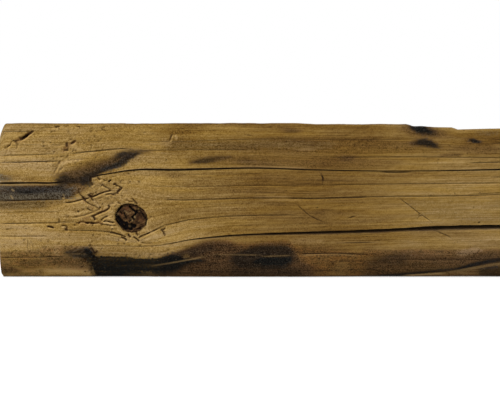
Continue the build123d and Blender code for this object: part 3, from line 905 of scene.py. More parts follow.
for number, (face, rows) in enumerate(face_rows_of.items()):
    x, across = face_x[:, rows], across_face[:, rows]
    for k, kind in enumerate(KINDS):
        count, soft, most, size = STAIN_SIZES[kind]
        bands = made_up_bands(face, BAND_SEED + 10 * number + k, count, soft, most, size)
        if face == "front":
            bands = bands[: count // 2] + lifted_bands(FRONT_STAINS[kind]) + EDGE_BANDS.get(kind, [])
        if face == "top":
            bands = bands + TOP_OVER_EDGE.get(kind, [])
        for target, got in zip(stain[kind], band_field(x, across, bands)):
            target[:, rows] = got
    for k, name in enumerate(CHANNELS):
        count = LINE_COUNTS[name]
        lines = made_up_lines(face, LINE_SEED + 10 * number + k, count)
        if face == "front":
            lines = along_grain(lines[: count * 2 // 3]) + lifted(FRONT_LINES[name])
        reach = FRONT_REACH if face == "front" else OTHER_REACH
        for target, got in zip(lines_at[name], segment_fields(x, across, lines, reach)):
            target[:, rows] = got

# Light and dark of the clean wood, before its fine grain: 0 dark brown, 1 pale tan.
# A patch: (from_left, down, reach along, reach down, amount).

TONE_ALONG = [
    (0, 0.8), (50, 0.76), (100, 0.7), (180, 0.69), (215, 0.54), (250, 0.44), (300, 0.38), (345, 0.4),
    (380, 0.53), (425, 0.64), (480, 0.62), (560, 0.55), (700, 0.62), (850, 0.5), (1000, 0.6),
    (1200, 0.48), (1400, 0.62), (1524, 0.56),
]
TONE_PATCHES = [
    (25, 234, 38, 9, 0.12), (180, 231, 34, 9, 0.1), (20, 167, 34, 9, 0.03), (178, 140, 22, 12, -0.14),
    (235, 144, 60, 8, -0.06), (330, 143, 70, 9, -0.03), (430, 140, 70, 13, -0.2),
    (505, 140, 30, 13, -0.16), (275, 179, 80, 9, -0.14), (175, 206, 30, 14, -0.18),
    (180, 128, 28, 7, -0.3), (135, 127, 22, 4, -0.1), (450, 175, 70, 5, -0.17), (445, 232, 70, 4, -0.1),
    (40, 271, 60, 8, 0.2), (75, 271, 22, 4, 0.14), (160, 248, 22, 6, 0.1), (300, 134, 60, 4, 0.12),
    (360, 160, 50, 5, -0.1), (225, 168, 60, 5, 0.12), (230, 188, 40, 5, -0.16),
    (470, 135, 40, 6, -0.06), (390, 240, 50, 4, -0.1), (176, 134, 26, 7, -0.16),
    (175, 156, 26, 9, -0.13), (475, 144, 30, 12, -0.15), (25, 178, 26, 3, -0.13), (8, 176, 8, 6, -0.12),
    (125, 177, 22, 4, -0.04), (275, 168, 26, 4, 0.1), (175, 240, 24, 5, 0.12), (275, 128, 26, 4, -0.16),
    (375, 128, 26, 4, -0.18), (475, 208, 26, 5, 0.1), (375, 240, 26, 10, -0.1), (475, 240, 26, 4, -0.1),
    (125, 232, 22, 4, 0.1), (475, 151, 26, 5, -0.14), (175, 159, 24, 4, -0.08),
    (325, 160, 26, 4, -0.13), (275, 208, 26, 5, -0.1), (475, 200, 26, 4, 0.08), (125, 248, 24, 4, -0.1),
    (78, 229, 26, 8, -0.12), (480, 241, 60, 5, 0.02), (20, 206, 30, 8, -0.06),
    (470, 208, 50, 14, -0.02), (125, 138, 26, 8, -0.08), (50, 134, 50, 3, -0.05),
    (75, 173, 20, 4, 0.07), (125, 173, 20, 4, -0.07), (325, 173, 26, 4, -0.07),
    (125, 198, 22, 4, -0.07), (25, 214, 26, 4, -0.08), (350, 222, 50, 4, -0.07),
    (275, 229, 26, 4, 0.07), (375, 232, 26, 5, -0.06), (425, 236, 26, 9, -0.07),
    (75, 238, 22, 4, -0.07), (55, 250, 12, 5, -0.1), (375, 246, 24, 4, -0.06), (60, 267, 30, 3, -0.06),
    (375, 231, 40, 5, -0.08), (425, 224, 50, 14, -0.06), (475, 218, 26, 6, -0.05),
    (275, 248, 24, 4, -0.1), (475, 272, 30, 4, -0.1), (425, 256, 30, 8, -0.05),
    (425, 160, 26, 5, -0.06), (20, 199, 26, 4, -0.06), (75, 270, 22, 4, 0.16), (450, 175, 60, 6, -0.05),
    (425, 190, 26, 6, -0.06), (175, 172, 24, 4, -0.08), (425, 269, 24, 4, -0.08),
    (245, 183, 44, 4, 0.13), (125, 183, 24, 4, 0.08),
]


def spot(px, py, rx, rz):
    """Square of the distance from a place on the front face, in shares of the two reaches."""
    return ((face_x - px) / rx) ** 2 + ((place_z - up(py)) / rz) ** 2


def tone_field():
    """The tone of each point."""
    tone = curve(TONE_ALONG, place_x)
    made_up = 0.12 * noise(place_x / 190, row_label[None, :] / 30, 61)
    made_up += 0.08 * noise(place_x / 60, row_label[None, :] / 9, 62)
    shown = is_fore[None, :] & (place_x < SHOWN + 60)
    tone = tone + np.where(shown, 0.2 * made_up, made_up - np.where(is_top, 0.06, 0)[None, :])
    for *where, amount in TONE_PATCHES:
        tone += np.where(is_fore[None, :], amount * np.exp(-spot(*where)), 0)
    tone -= 0.1 * is_under[None, :]
    below_arris = (top_front(columns)[:, None] - place_z) / 3
    edge_shade = 0.28 - 0.34 * eased((place_x - 230) / 80)
    tone -= edge_shade * np.exp(-below_arris**2) * is_fore[None, :]
    return tone


# Warm and cool parts of the front face: patches as above, warm below 0 and cool above
TINT_PATCHES = [
    (130, 134, 40, 10, -0.7), (230, 140, 90, 14, -0.6), (350, 146, 60, 14, -0.5),
    (20, 262, 40, 14, -0.8), (10, 174, 40, 10, 0.3), (440, 226, 60, 8, 0.5), (425, 248, 60, 10, 0.9),
    (480, 262, 40, 14, 0.7), (30, 204, 40, 6, -0.4), (175, 186, 40, 10, -0.3), (270, 240, 30, 10, -0.4),
    (355, 254, 30, 6, -0.5), (205, 160, 24, 5, -0.9), (475, 222, 30, 6, 0.6), (475, 246, 30, 6, 0.6),
    (82, 166, 14, 5, -0.7), (102, 158, 14, 4, -0.7), (110, 168, 14, 3, 0.9), (128, 157, 10, 4, 0.9),
    (86, 180, 9, 4, 1), (30, 190, 40, 3, 0.9), (30, 206, 36, 4, -0.5), (88, 250, 8, 5, 0.9),
    (40, 266, 40, 8, -0.4),
]


def tint_field():
    """How cool each point of the front face is, from -1 to 1."""
    tint = np.zeros_like(base_x)
    for *where, amount in TINT_PATCHES:
        tint += np.where(is_fore[None, :], amount * np.exp(-spot(*where)), 0)
    return np.clip(tint, -1, 1)


tone_at = tone_field()
tint_at = tint_field()

# Relief of the skin, all of it inwards

label_grid = row_label[None, :]
relief = 0.55 + 0.28 * noise(base_x / 34, label_grid / 11, 71)
relief += 0.18 * noise(base_x / 11, label_grid / 3.2, 72)
relief += 0.08 * noise(base_x / 3.1, label_grid / 1.3, 73)
relief = relief * np.where(is_under, 0.25, 1.0)[None, :]

# Torn grain: (from_left, down, reach along, reach down, amount)
TORN = [
    (97, 204, 20, 17, 0.8), (112, 190, 12, 8, 0.6), (70, 223, 24, 6, 0.4), (66, 150, 9, 9, 0.35),
    (17, 141, 9, 6, 0.4),
]
torn = np.zeros_like(base_x)
for *where, amount in TORN:
    torn = np.maximum(torn, amount * np.exp(-spot(*where) * spot(*where)))
torn *= is_fore[None, :] * (knot_r > 1.02)
relief += torn * (0.5 + 0.55 * noise(place_x / 2.6, place_z / 1.9, 74))

GROOVE_DEPTH, GROOVE_SPREAD = 0.55, 0.45
for name in DARK_CHANNELS:
    signed, half, strength = lines_at[name]
    relief += GROOVE_DEPTH * strength * np.exp(-((signed / (half + GROOVE_SPREAD)) ** 2))

# Small strokes of the left third and the knot, where the mesh is fine: dark, rotten, rusty, pale.
# A stroke: half width, strength, then (from_left, down) points.

STROKES = {
    "ink": [
        (1.5, 0.95, [(20.6, 139.2), (23.4, 137.6), (26.4, 135.4)]),
        (1.2, 0.95, [(26.4, 135.6), (29.6, 133.2), (31.6, 132)]),
        (0.6, 0.8, [(31.6, 132), (33.4, 131.2)]), (0.9, 0.65, [(18.8, 137.6), (21, 137)]),
        (1.1, 0.65, [(18.6, 139.8), (21, 139.8)]), (1, 0.8, [(12.8, 140.8), (15, 141.2), (17, 140.8)]),
        (1.1, 0.6, [(15.4, 141.8), (17, 144.4)]), (0.6, 0.5, [(16.4, 145), (16.6, 147.8)]),
        (0.6, 0.5, [(11, 142.2), (10, 144.6)]),
        (0.7, 0.65, [(10, 144.6), (7.8, 146.4), (5.4, 148.4), (4.6, 147.2)]),
        (1.1, 0.65, [(55, 127), (58, 126.6), (60.4, 124.8)]), (0.9, 0.4, [(45, 127.4), (52, 127.8)]),
        (0.7, 0.45, [(50, 124.6), (54, 124.4)]), (0.8, 0.7, [(77.4, 126.2), (79.4, 127.2)]),
        (1.1, 0.85, [(66.8, 143.4), (66.8, 145.6)]), (1.2, 0.8, [(71.4, 143.6), (74.8, 141.2)]),
        (0.9, 0.65, [(70, 139.8), (71.4, 139.4)]), (1.2, 0.8, [(64.4, 150.2), (67, 150.2)]),
        (0.8, 0.5, [(67.6, 146.6), (67.4, 148.6)]),
        (0.7, 0.4, [(52.6, 144.8), (54, 145.4), (58, 145.2), (62, 144.6)]),
        (0.7, 0.55, [(62, 156.2), (63.6, 156)]), (0.7, 0.6, [(68.4, 155), (66, 157.6), (65, 158.6)]),
        (1, 0.65, [(59.6, 162), (58.4, 164)]), (0.9, 0.55, [(56.8, 167.4), (55.6, 170)]),
        (0.8, 0.5, [(62, 168), (59, 170.4)]), (0.6, 0.4, [(54.4, 171.6), (54, 173.6)]),
        (0.7, 0.7, [(172, 134.4), (171, 137), (169.8, 140.4)]),
        (0.6, 0.7, [(78.3, 191.2), (80.3, 195), (83.2, 197.6), (86, 202), (89.5, 204), (96.5, 207.2),
            (99.5, 209.3)]),
        (1.2, 1, [(82.8, 197.4), (84.6, 200)]),
        (0.7, 0.95, [(91.3, 198.6), (94, 201.6), (97, 204.6), (100, 207.6)]),
        (1.3, 1, [(88.8, 195.2), (91, 196.8)]), (0.7, 0.7, [(90, 193.6), (92.6, 194)]),
        (0.6, 0.9, [(92, 197), (96, 195.4), (100, 193.4), (105, 191.8), (110.5, 190.7)]),
        (0.6, 0.7, [(66, 202.7), (72, 202.2), (78, 200.6), (83, 199.2), (88, 198.3)]),
        (0.5, 0.7, [(110.5, 190.7), (108, 188.4), (105, 187), (102.2, 184.6)]),
        (0.8, 0.7, [(101.6, 185.6), (102.6, 184.4)]),
        (0.6, 0.75, [(106, 194.4), (110, 193.8), (114, 193.6), (117.4, 192.8), (119.6, 190.6),
            (122, 188)]),
        (0.9, 0.9, [(112.4, 194.2), (113.4, 194.6)]), (0.9, 0.95, [(117.6, 191.6), (119.6, 189.2)]),
        (0.7, 0.9, [(119.2, 186.8), (121.4, 188)]), (0.9, 1, [(113.8, 184.4), (115.2, 183.8)]),
        (0.8, 0.95, [(116.2, 185.4), (117.6, 186)]), (0.8, 0.9, [(108.8, 181.6), (110.4, 180.2)]),
        (0.7, 0.8, [(104, 180), (104.8, 180.6)]), (0.7, 0.8, [(98, 178), (99.8, 179.8)]),
        (0.5, 0.6, [(91, 177.4), (94.6, 177), (98, 176.6)]),
        (1, 1, [(90.6, 178.6), (90.8, 182), (92.2, 184.8)]),
        (0.5, 0.75, [(87.5, 208.2), (89.5, 210.2), (91.8, 211)]),
        (0.45, 0.5, [(73.5, 217.4), (78, 216.4), (84, 215.2), (88, 213.8), (93, 212), (99.8, 208.8)]),
        (0.9, 0.85, [(93.4, 215.8), (98, 213.6), (103, 211.6), (106.5, 210)]),
        (0.8, 0.85, [(106.5, 210), (108.8, 208.4), (109.4, 206.8), (108.2, 205.4)]),
        (1, 1, [(92.2, 216.2), (93.6, 217.6), (94.6, 219.4)]),
        (0.7, 0.75, [(101.2, 220.2), (103, 218.2), (105, 216.9), (107.6, 216.2)]),
        (1, 1, [(86.4, 222.8), (87.6, 223.2)]), (1, 1, [(91, 223), (93, 223.3)]),
        (0.5, 0.6, [(78.5, 223.6), (79.6, 222), (82, 221.6), (86, 222.4), (95, 223), (99, 222.6)]),
        (0.7, 0.95, [(104, 221.5), (108.5, 221.7), (113.2, 222.5)]),
        (0.6, 0.75, [(58.6, 219.2), (59.3, 222.2)]),
        (0.45, 0.45, [(58, 221.8), (66, 221.4), (74, 221.2)]),
        (0.6, 0.75, [(62, 225.6), (64.6, 225.6), (66.4, 227), (66.6, 230.6)]),
        (0.9, 0.75, [(66.2, 226.4), (65.4, 229.8)]),
        (0.9, 0.9, [(47.8, 226.4), (50.4, 226.8), (52.8, 227.6)]),
        (0.8, 1, [(78.2, 211.4), (78.8, 212)]), (0.7, 0.5, [(75, 211.6), (75.8, 212)]),
        (0.7, 0.6, [(112.2, 203.1), (113, 203.6)]), (0.6, 0.5, [(74.2, 225), (75.2, 225.4)]),
        (0.7, 0.75, [(62, 196.4), (63, 197)]), (0.6, 0.5, [(110.6, 197), (111.6, 197.6)]),
        (0.6, 0.5, [(98.4, 198.6), (101.6, 197.8)]), (0.6, 0.6, [(126.5, 199.6), (127.6, 200.4)]),
        (0.7, 0.85, [(118, 202.6), (119.6, 203.4)]), (0.6, 0.6, [(112.6, 203.2), (113.6, 203.6)]),
        (0.6, 0.6, [(129.2, 201.6), (132.6, 201.8)]),
        (0.8, 0.8, [(133.6, 200), (135.2, 202), (136.6, 203.8)]),
        (0.9, 0.85, [(136.6, 205.6), (137.4, 207.4)]), (0.5, 0.5, [(132, 198.4), (133.4, 199.6)]),
        (0.55, 0.7, [(150.6, 216.6), (152, 217)]),
        (0.5, 0.6, [(108, 224.6), (110, 225.2), (112.8, 225.4)]),
        (0.6, 0.7, [(114, 225.2), (114.8, 225.6)]),
        (0.6, 0.75, [(110, 232.4), (114, 233.2), (118, 234.4), (122, 235.6)]),
        (0.9, 0.9, [(121.6, 237.6), (124.4, 238.8), (126, 240)]),
        (0.8, 0.7, [(124, 236.2), (124.8, 236.8)]), (1.1, 1, [(128.4, 235), (129.8, 236.6)]),
        (0.9, 0.9, [(135.8, 231.6), (136.4, 233.4), (137.6, 235.2)]),
        (0.7, 0.8, [(133.6, 237.4), (136, 238.8), (138.4, 241)]),
        (0.6, 0.7, [(139, 237.4), (144, 235.4), (150, 232.4), (156, 229.8)]),
        (0.5, 0.55, [(142, 242.6), (146, 243.4), (152, 242.8)]),
        (0.8, 0.9, [(162.2, 230.4), (164.6, 228.6)]),
        (0.7, 0.85, [(161.2, 229.8), (163, 231.6), (164.8, 235)]),
    ],
    "rot": [
        (1.5, 1, [(116.4, 215.4), (118.4, 218), (120.6, 220.8)]),
        (1.3, 1, [(119.8, 223), (122.4, 226.4), (125.6, 229)]),
        (0.8, 0.8, [(124.6, 223.6), (127.4, 226.2)]),
        (1, 0.95, [(117.4, 217.6), (119.8, 219.4), (122, 221.6)]),
        (1.3, 1, [(120.2, 222), (121.4, 225), (122.6, 226.6)]),
        (1.2, 0.9, [(122.6, 222.4), (126.6, 223.2)]), (1.1, 1, [(124.6, 226.2), (126.2, 228.6)]),
        (1.1, 0.95, [(127.6, 228.4), (131.4, 229.2)]), (1.9, 1, [(131, 225.4), (134, 226)]),
        (1, 0.9, [(126.2, 222.4), (127.4, 224.4)]),
        (0.9, 0.9, [(117.2, 211.8), (119.4, 208.6), (121.6, 206)]),
        (0.6, 0.7, [(115.4, 219), (117.4, 222), (119.4, 225)]),
        (0.75, 1, [(129, 206), (131.7, 208.8), (136, 212.4)]),
        (0.8, 1, [(138.8, 208.2), (136.4, 211.6), (135.2, 214), (132.4, 217)]),
        (1.1, 1, [(135.4, 211.8), (136.4, 212.6)]), (0.8, 0.9, [(133.2, 219), (133.8, 219.6)]),
        (0.7, 0.8, [(129.4, 221.4), (130.8, 220.2)]),
        (0.7, 0.7, [(123.8, 213), (125, 215.6), (126.2, 218)]),
        (0.6, 0.7, [(120.4, 212.4), (121.6, 214)]),
        (0.55, 0.65, [(139.4, 210), (142.4, 213.4), (145.6, 218)]),
        (0.5, 0.6, [(141.6, 213.6), (143.8, 217), (145.4, 219.8)]),
        (0.5, 0.5, [(137.6, 212.6), (140, 215), (141.6, 218)]),
        (0.7, 0.6, [(146.4, 214.6), (147, 219), (145.8, 225)]),
        (0.6, 0.5, [(136, 221.6), (138.4, 222.8)]), (0.6, 0.5, [(140.6, 224.6), (142, 226)]),
        (0.6, 0.6, [(137, 229), (141, 228)]),
    ],
    "rust": [
        (2.2, 0.5, [(17, 141), (22, 139.6), (29, 134.6)]), (2, 0.4, [(64, 151), (67, 146), (74, 142)]),
        (1.4, 0.4, [(125.4, 208.8), (127, 208.2)]), (1.1, 0.3, [(128, 206.6), (127.2, 209.6)]),
        (1.3, 0.45, [(120.6, 213.6), (122, 215)]), (2, 0.2, [(139.6, 218.6), (143, 221)]),
        (1.2, 0.45, [(84.6, 200.8), (83.6, 202)]), (1.6, 0.35, [(90.6, 205.8), (92.4, 207.6)]),
        (1.6, 0.4, [(84, 218), (88, 217.4)]), (1.6, 0.4, [(101, 211.6), (106, 209.6)]),
        (1.2, 0.4, [(116, 223), (117.2, 224)]), (1.4, 0.4, [(95, 222.4), (101, 222.8)]),
        (2, 0.4, [(80, 223), (90, 223.4)]),
    ],
    # Partly pale fibres, partly painted highlights beside the dark strokes
    "pale": [
        (1.2, 0.4, [(62, 163.6), (66, 161.6), (72, 160.6), (79, 160.2)]),
        (1.6, 0.25, [(60, 166), (64, 163)]), (1.8, 0.25, [(72, 146), (80, 150)]),
        (1.8, 0.2, [(76, 155.8), (94, 153.4)]), (1.1, 0.4, [(175.4, 136.4), (176.6, 138.4)]),
        (1, 0.3, [(52.4, 129), (58, 129.4)]),
        (0.6, 0.95, [(93.6, 200.6), (96.2, 203.8), (98.6, 206.4)]),
        (0.8, 0.9, [(103.8, 222.9), (107, 222.8), (109.4, 223.8)]),
        (0.5, 0.8, [(109, 223.4), (112.4, 225)]), (1, 0.5, [(104.4, 208.2), (107, 206.6)]),
        (0.5, 0.5, [(91.8, 217.4), (92.8, 219.4)]), (0.6, 0.6, [(62.4, 227.4), (65, 227.4)]),
        (0.8, 0.35, [(86, 196), (87.6, 196.8)]), (0.6, 0.5, [(88, 193.4), (88.6, 193.2)]),
        (1.2, 0.3, [(70, 213.8), (79, 213)]), (0.9, 0.35, [(81.4, 201.4), (84, 203.4)]),
        (0.6, 0.45, [(106.4, 219.6), (112.4, 218.2)]), (0.6, 0.45, [(107.6, 217.4), (112.6, 215.8)]),
        (0.6, 0.45, [(108.6, 213.2), (112.4, 211.2)]), (0.6, 0.4, [(110, 220.6), (113.6, 220.4)]),
        (0.6, 0.6, [(100.2, 180.4), (101, 180.8)]),
        (0.7, 0.4, [(104, 192.9), (109, 192.2), (113, 192.6)]),
        (0.8, 0.4, [(124.6, 198), (127, 197.6), (130, 199.4)]),
        (0.7, 0.4, [(128, 202.6), (126, 201.6)]), (1, 0.35, [(120, 198.6), (122, 199.6)]),
        (0.7, 0.6, [(111.4, 227.4), (113, 227.8)]), (0.7, 0.5, [(118, 229.6), (121, 232), (124, 234)]),
        (0.7, 0.4, [(126.4, 236.8), (127.4, 238.6)]), (0.7, 0.5, [(129.4, 233.2), (130.2, 233.8)]),
        (0.8, 0.5, [(142.6, 228.6), (145, 231)]),
        (0.6, 0.4, [(147.4, 222), (147, 228), (148.6, 231.4)]),
        (1.4, 0.35, [(150.6, 231.6), (156, 236)]), (1.2, 0.35, [(150, 238), (146, 240.4)]),
        (0.6, 0.4, [(116.6, 214.4), (117.8, 214)]),
        (0.45, 0.2, [(124.4, 211), (126.4, 212.2), (128, 213.6)]),
        (0.5, 0.5, [(134.2, 216.2), (134.6, 217.4)]), (0.6, 0.25, [(131, 219.2), (132.4, 220.6)]),
        (0.5, 0.2, [(129.4, 225.4), (129.8, 226.6)]), (0.5, 0.35, [(63.2, 194.6), (63.6, 196)]),
        (0.5, 0.45, [(12, 189.6), (13.4, 190.8)]), (0.45, 0.4, [(10.6, 196), (12.6, 198.6)]),
    ],
}
STROKES_END = 180.0


def brushed(strokes, right=0.0, lower=0.0):
    """Strength of the strongest stroke at each point of the front face, moved right and lower."""
    value = np.zeros_like(base_x)
    near = np.ix_(np.flatnonzero(columns <= STROKES_END), np.flatnonzero(is_front))
    x, height = face_x[near] - right, place_z[near] + lower
    strongest = np.zeros_like(x)
    for half, most, points in strokes:
        for (ax, ay), (bx, by) in zip(points, points[1:]):
            run = np.hypot(bx - ax, by - ay)
            ux, uz = (bx - ax) / run, (ay - by) / run
            t = np.clip((x - ax) * ux + (height - up(ay)) * uz, 0, run)
            away = np.hypot(x - ax - t * ux, height - up(ay) - t * uz)
            faded = eased((away - 0.5 * half) / max(1.1 * half, 0.85))
            strongest = np.maximum(strongest, most * (1 - faded))
    value[near] = strongest
    return value


# Places full of pecks: left, right, top, bottom, how many, strength
PECKED = [
    (38, 104, 124, 172, 90, 0.5), (2, 60, 238, 274, 60, 0.45), (56, 128, 192, 246, 60, 0.5),
    (136, 176, 226, 256, 26, 0.4), (96, 136, 176, 200, 24, 0.5), (2, 40, 126, 180, 30, 0.4),
    (140, 178, 124, 168, 20, 0.35), (2, 60, 200, 240, 26, 0.4), (80, 97, 250, 276, 60, 0.8),
    (64, 92, 246, 254, 30, 0.6), (96, 172, 254, 258.5, 60, 0.4), (58, 140, 150, 188, 40, 0.5),
]


def pecks():
    """Short marks at random in the pecked places, leaning along the old tool's strokes."""
    rng = np.random.default_rng(77)
    marks = []
    for left, right, top, bottom, count, most in PECKED:
        for _ in range(count):
            x, down = rng.uniform(left, right), rng.uniform(top, bottom)
            reach, lean = rng.uniform(0.2, 1.6), radians(rng.normal(25, 35))
            half, strength = rng.uniform(0.4, 0.7), most * rng.uniform(0.5, 1.3)
            end = (x + reach * cos(lean), down - reach * sin(lean))
            marks.append((half, strength, [(x, down), end]))
    return marks


painted = {name: brushed(strokes) for name, strokes in STROKES.items()}
painted["ink"] = np.maximum(painted["ink"], brushed(pecks()))
# The light catches the lower right lip of each dark stroke
LIP_RIGHT, LIP_LOWER, LIP_CLEAR = 0.6, 1.3, 1.2
INK_DEPTH, PALE_RISE, LIP_RISE = 1.7, 0.6, 0.4
beside_ink = brushed(STROKES["ink"], LIP_RIGHT, LIP_LOWER)
painted["lip"] = np.maximum(beside_ink - LIP_CLEAR * painted["ink"], 0)
relief += INK_DEPTH * painted["ink"] - PALE_RISE * painted["pale"] - LIP_RISE * painted["lip"]

# The pits, darkened inside with painted shade. The nearest point is drawn to the middle of each small
# one.
NO_PIT = -2.0
SMALL_PIT = 1.7
pit = np.full(base_x.shape, NO_PIT)
front_only = np.where(is_front)[0]
for px, py, rx, rz, turned, deep, dark in PITS:
    dx, dz = face_x[:, front_only] - px, place_z[:, front_only] - up(py)
    if rx < SMALL_PIT:
        i, j = np.unravel_index(np.argmin(dx**2 + dz**2), dx.shape)
        place_x[i, front_only[j]] -= dx[i, j]
        place_z[i, front_only[j]] -= dz[i, j]
        dx[i, j], dz[i, j] = 0, 0
    a = radians(turned)
    along = (dx * cos(a) + dz * sin(a)) / rx
    aside = (-dx * sin(a) + dz * cos(a)) / rz
    inside = 1 - np.sqrt(along**2 + aside**2)
    shade = np.where(inside > -1.5, inside + dark - 1, NO_PIT)
    pit[:, front_only] = np.maximum(pit[:, front_only], shade)
    relief[:, front_only] += deep * eased(np.clip(inside, 0, 1) * 1.3)

# The knot stands sunk in its hole, with a gap round it and its lower left side rotten
KNOT_SUNK, KNOT_DOMED = 2.0, 0.9
ROT_DEPTH = 2.4
GAP_DEPTH, GAP_HALF = 2.6, 0.045
SWELL, SWELL_AT, SWELL_REACH = 0.3, 1.25, 0.16
in_knot = is_front[None, :] & (knot_r < 1)
gap = np.clip(1 - np.abs(knot_r - 1) / GAP_HALF, 0, 1) * is_front[None, :]
knot_relief = KNOT_SUNK + 0.35 * noise(place_x / 1.8, place_z / 1.8, 81) + KNOT_DOMED * knot_r**2
relief = np.where(in_knot, knot_relief, relief)
relief += ROT_DEPTH * painted["rot"] * in_knot * (1 + 0.4 * noise(place_x / 2, place_z / 2, 82))
relief += GAP_DEPTH * gap * (0.1 + 0.9 * eased((0.3 - knot_x) / 1.1))
relief -= SWELL * np.exp(-(((knot_r - SWELL_AT) / SWELL_REACH) ** 2)) * is_front[None, :]

total_inset = inset + np.maximum(relief, 0)

# The ends: worn round, the right one sawn out of square, both with checks from the pith

END_ROUND = 1.6
from_end = np.minimum(base_x, LENGTH - base_x)
worn = END_ROUND - np.sqrt(np.maximum(END_ROUND**2 - np.maximum(END_ROUND - from_end, 0) ** 2, 0))
total_inset += worn * ~is_under[None, :]

place_y -= out_y * total_inset
place_z -= out_z * total_inset
CORNER_REACH = 4.5
WORN_BACK, WORN_FADE, WORN_RUN = 26.0, 12.0, 16.0


def corner_wear(y, z):
    """How far the lower front corner of the left end is worn in along the beam."""
    drop = np.clip((CORNER_REACH - z) / CORNER_REACH, 0, 1)
    near_front = np.clip((WORN_BACK - DEPTH / 2 - y) / WORN_FADE, 0, 1)
    return CORNER_REACH * (1 - np.sqrt(1 - drop**2)) * near_front


wear = corner_wear(place_y, np.maximum(place_z, 0))
place_x += wear * np.clip(1 - base_x / WORN_RUN, 0, 1)
place_z = np.clip(place_z, 0, HEIGHT)
place_y = np.clip(place_y, -DEPTH / 2, DEPTH / 2)
place_z[:, is_under] = np.where(base_z[:, is_under] > 0, place_z[:, is_under], 0)


SLOPE_FROM = 1300


def sawn_end(x, z):
    """Where a point near the right end goes, the end being sawn out of square."""
    share = np.clip((x - SLOPE_FROM) / (LENGTH - SLOPE_FROM), 0, 1)
    return x - z * tan(radians(END_SLOPE)) * share


count_rows = base_x.shape[1]
CAP_RINGS = 9
ring_shares = 1 - (np.arange(1, CAP_RINGS) / CAP_RINGS) ** 1.1
NO_END_CHECK = -6.0
# A check in an end: its angle from the pith, where it starts and stops, width, depth
END_CHECKS = {
    "left": [(-52, 6, 58, 2.4, 9), (172, 5, 64, 2.6, 12), (82, 6, 50, 1.8, 7), (118, 12, 44, 1.2, 5)],
    "right": [(20, 4, 60, 2.4, 10), (138, 6, 66, 2.8, 13), (-98, 5, 48, 1.8, 7), (62, 14, 50, 1.2, 5)],
}


def end_cap(side, column):
    """Rings of points from one end's edge in to the pith: x, y, z and how dark each is with the painted
    shade of the end checks.
    """
    edge_y, edge_z = place_y[column], place_z[column]
    y = PITH_Y + (edge_y - PITH_Y) * ring_shares[:, None]
    z = PITH_UP + (edge_z - PITH_UP) * ring_shares[:, None]
    y = np.vstack([y, np.full((1, count_rows), PITH_Y)])
    z = np.vstack([z, np.full((1, count_rows), PITH_UP)])
    saw = 0.35 + 0.22 * noise(z / 4.5, y / 90, 91 if side == "left" else 92)
    saw += 0.2 * noise(y / 14, z / 14, 93) + 0.12 * noise(y / 2.6, z / 2.6, 94)
    saw = saw * eased((1 - np.append(ring_shares, 0)) * 7)[:, None]
    dark = np.full(y.shape, NO_END_CHECK)
    for angle, inner, outer, width, deep in END_CHECKS[side]:
        ux, uz = cos(radians(angle)), sin(radians(angle))
        along = (y - PITH_Y) * ux + (z - PITH_UP) * uz
        aside = (z - PITH_UP) * ux - (y - PITH_Y) * uz + 0.7 * np.sin(along / 7)
        t = np.clip((along - inner) / (outer - inner), 0, 1)
        half = width * np.sin(pi * t) ** 0.7 / 2
        inside = half - np.abs(aside) - np.maximum(np.maximum(inner - along, along - outer), 0)
        saw += deep * eased((inside + 0.5) / 1.6) * (half > 0.15)
        dark = np.maximum(dark, inside)
    return y, z, np.maximum(saw, 0), dark


# About where each face stands, for the coordinates that its wood grain is drawn in
FACE_OUT = 77
ARRIS_IN = 72
TOP_IN = 75
BACK_TOP = 152
SHARP_ANGLE = 48


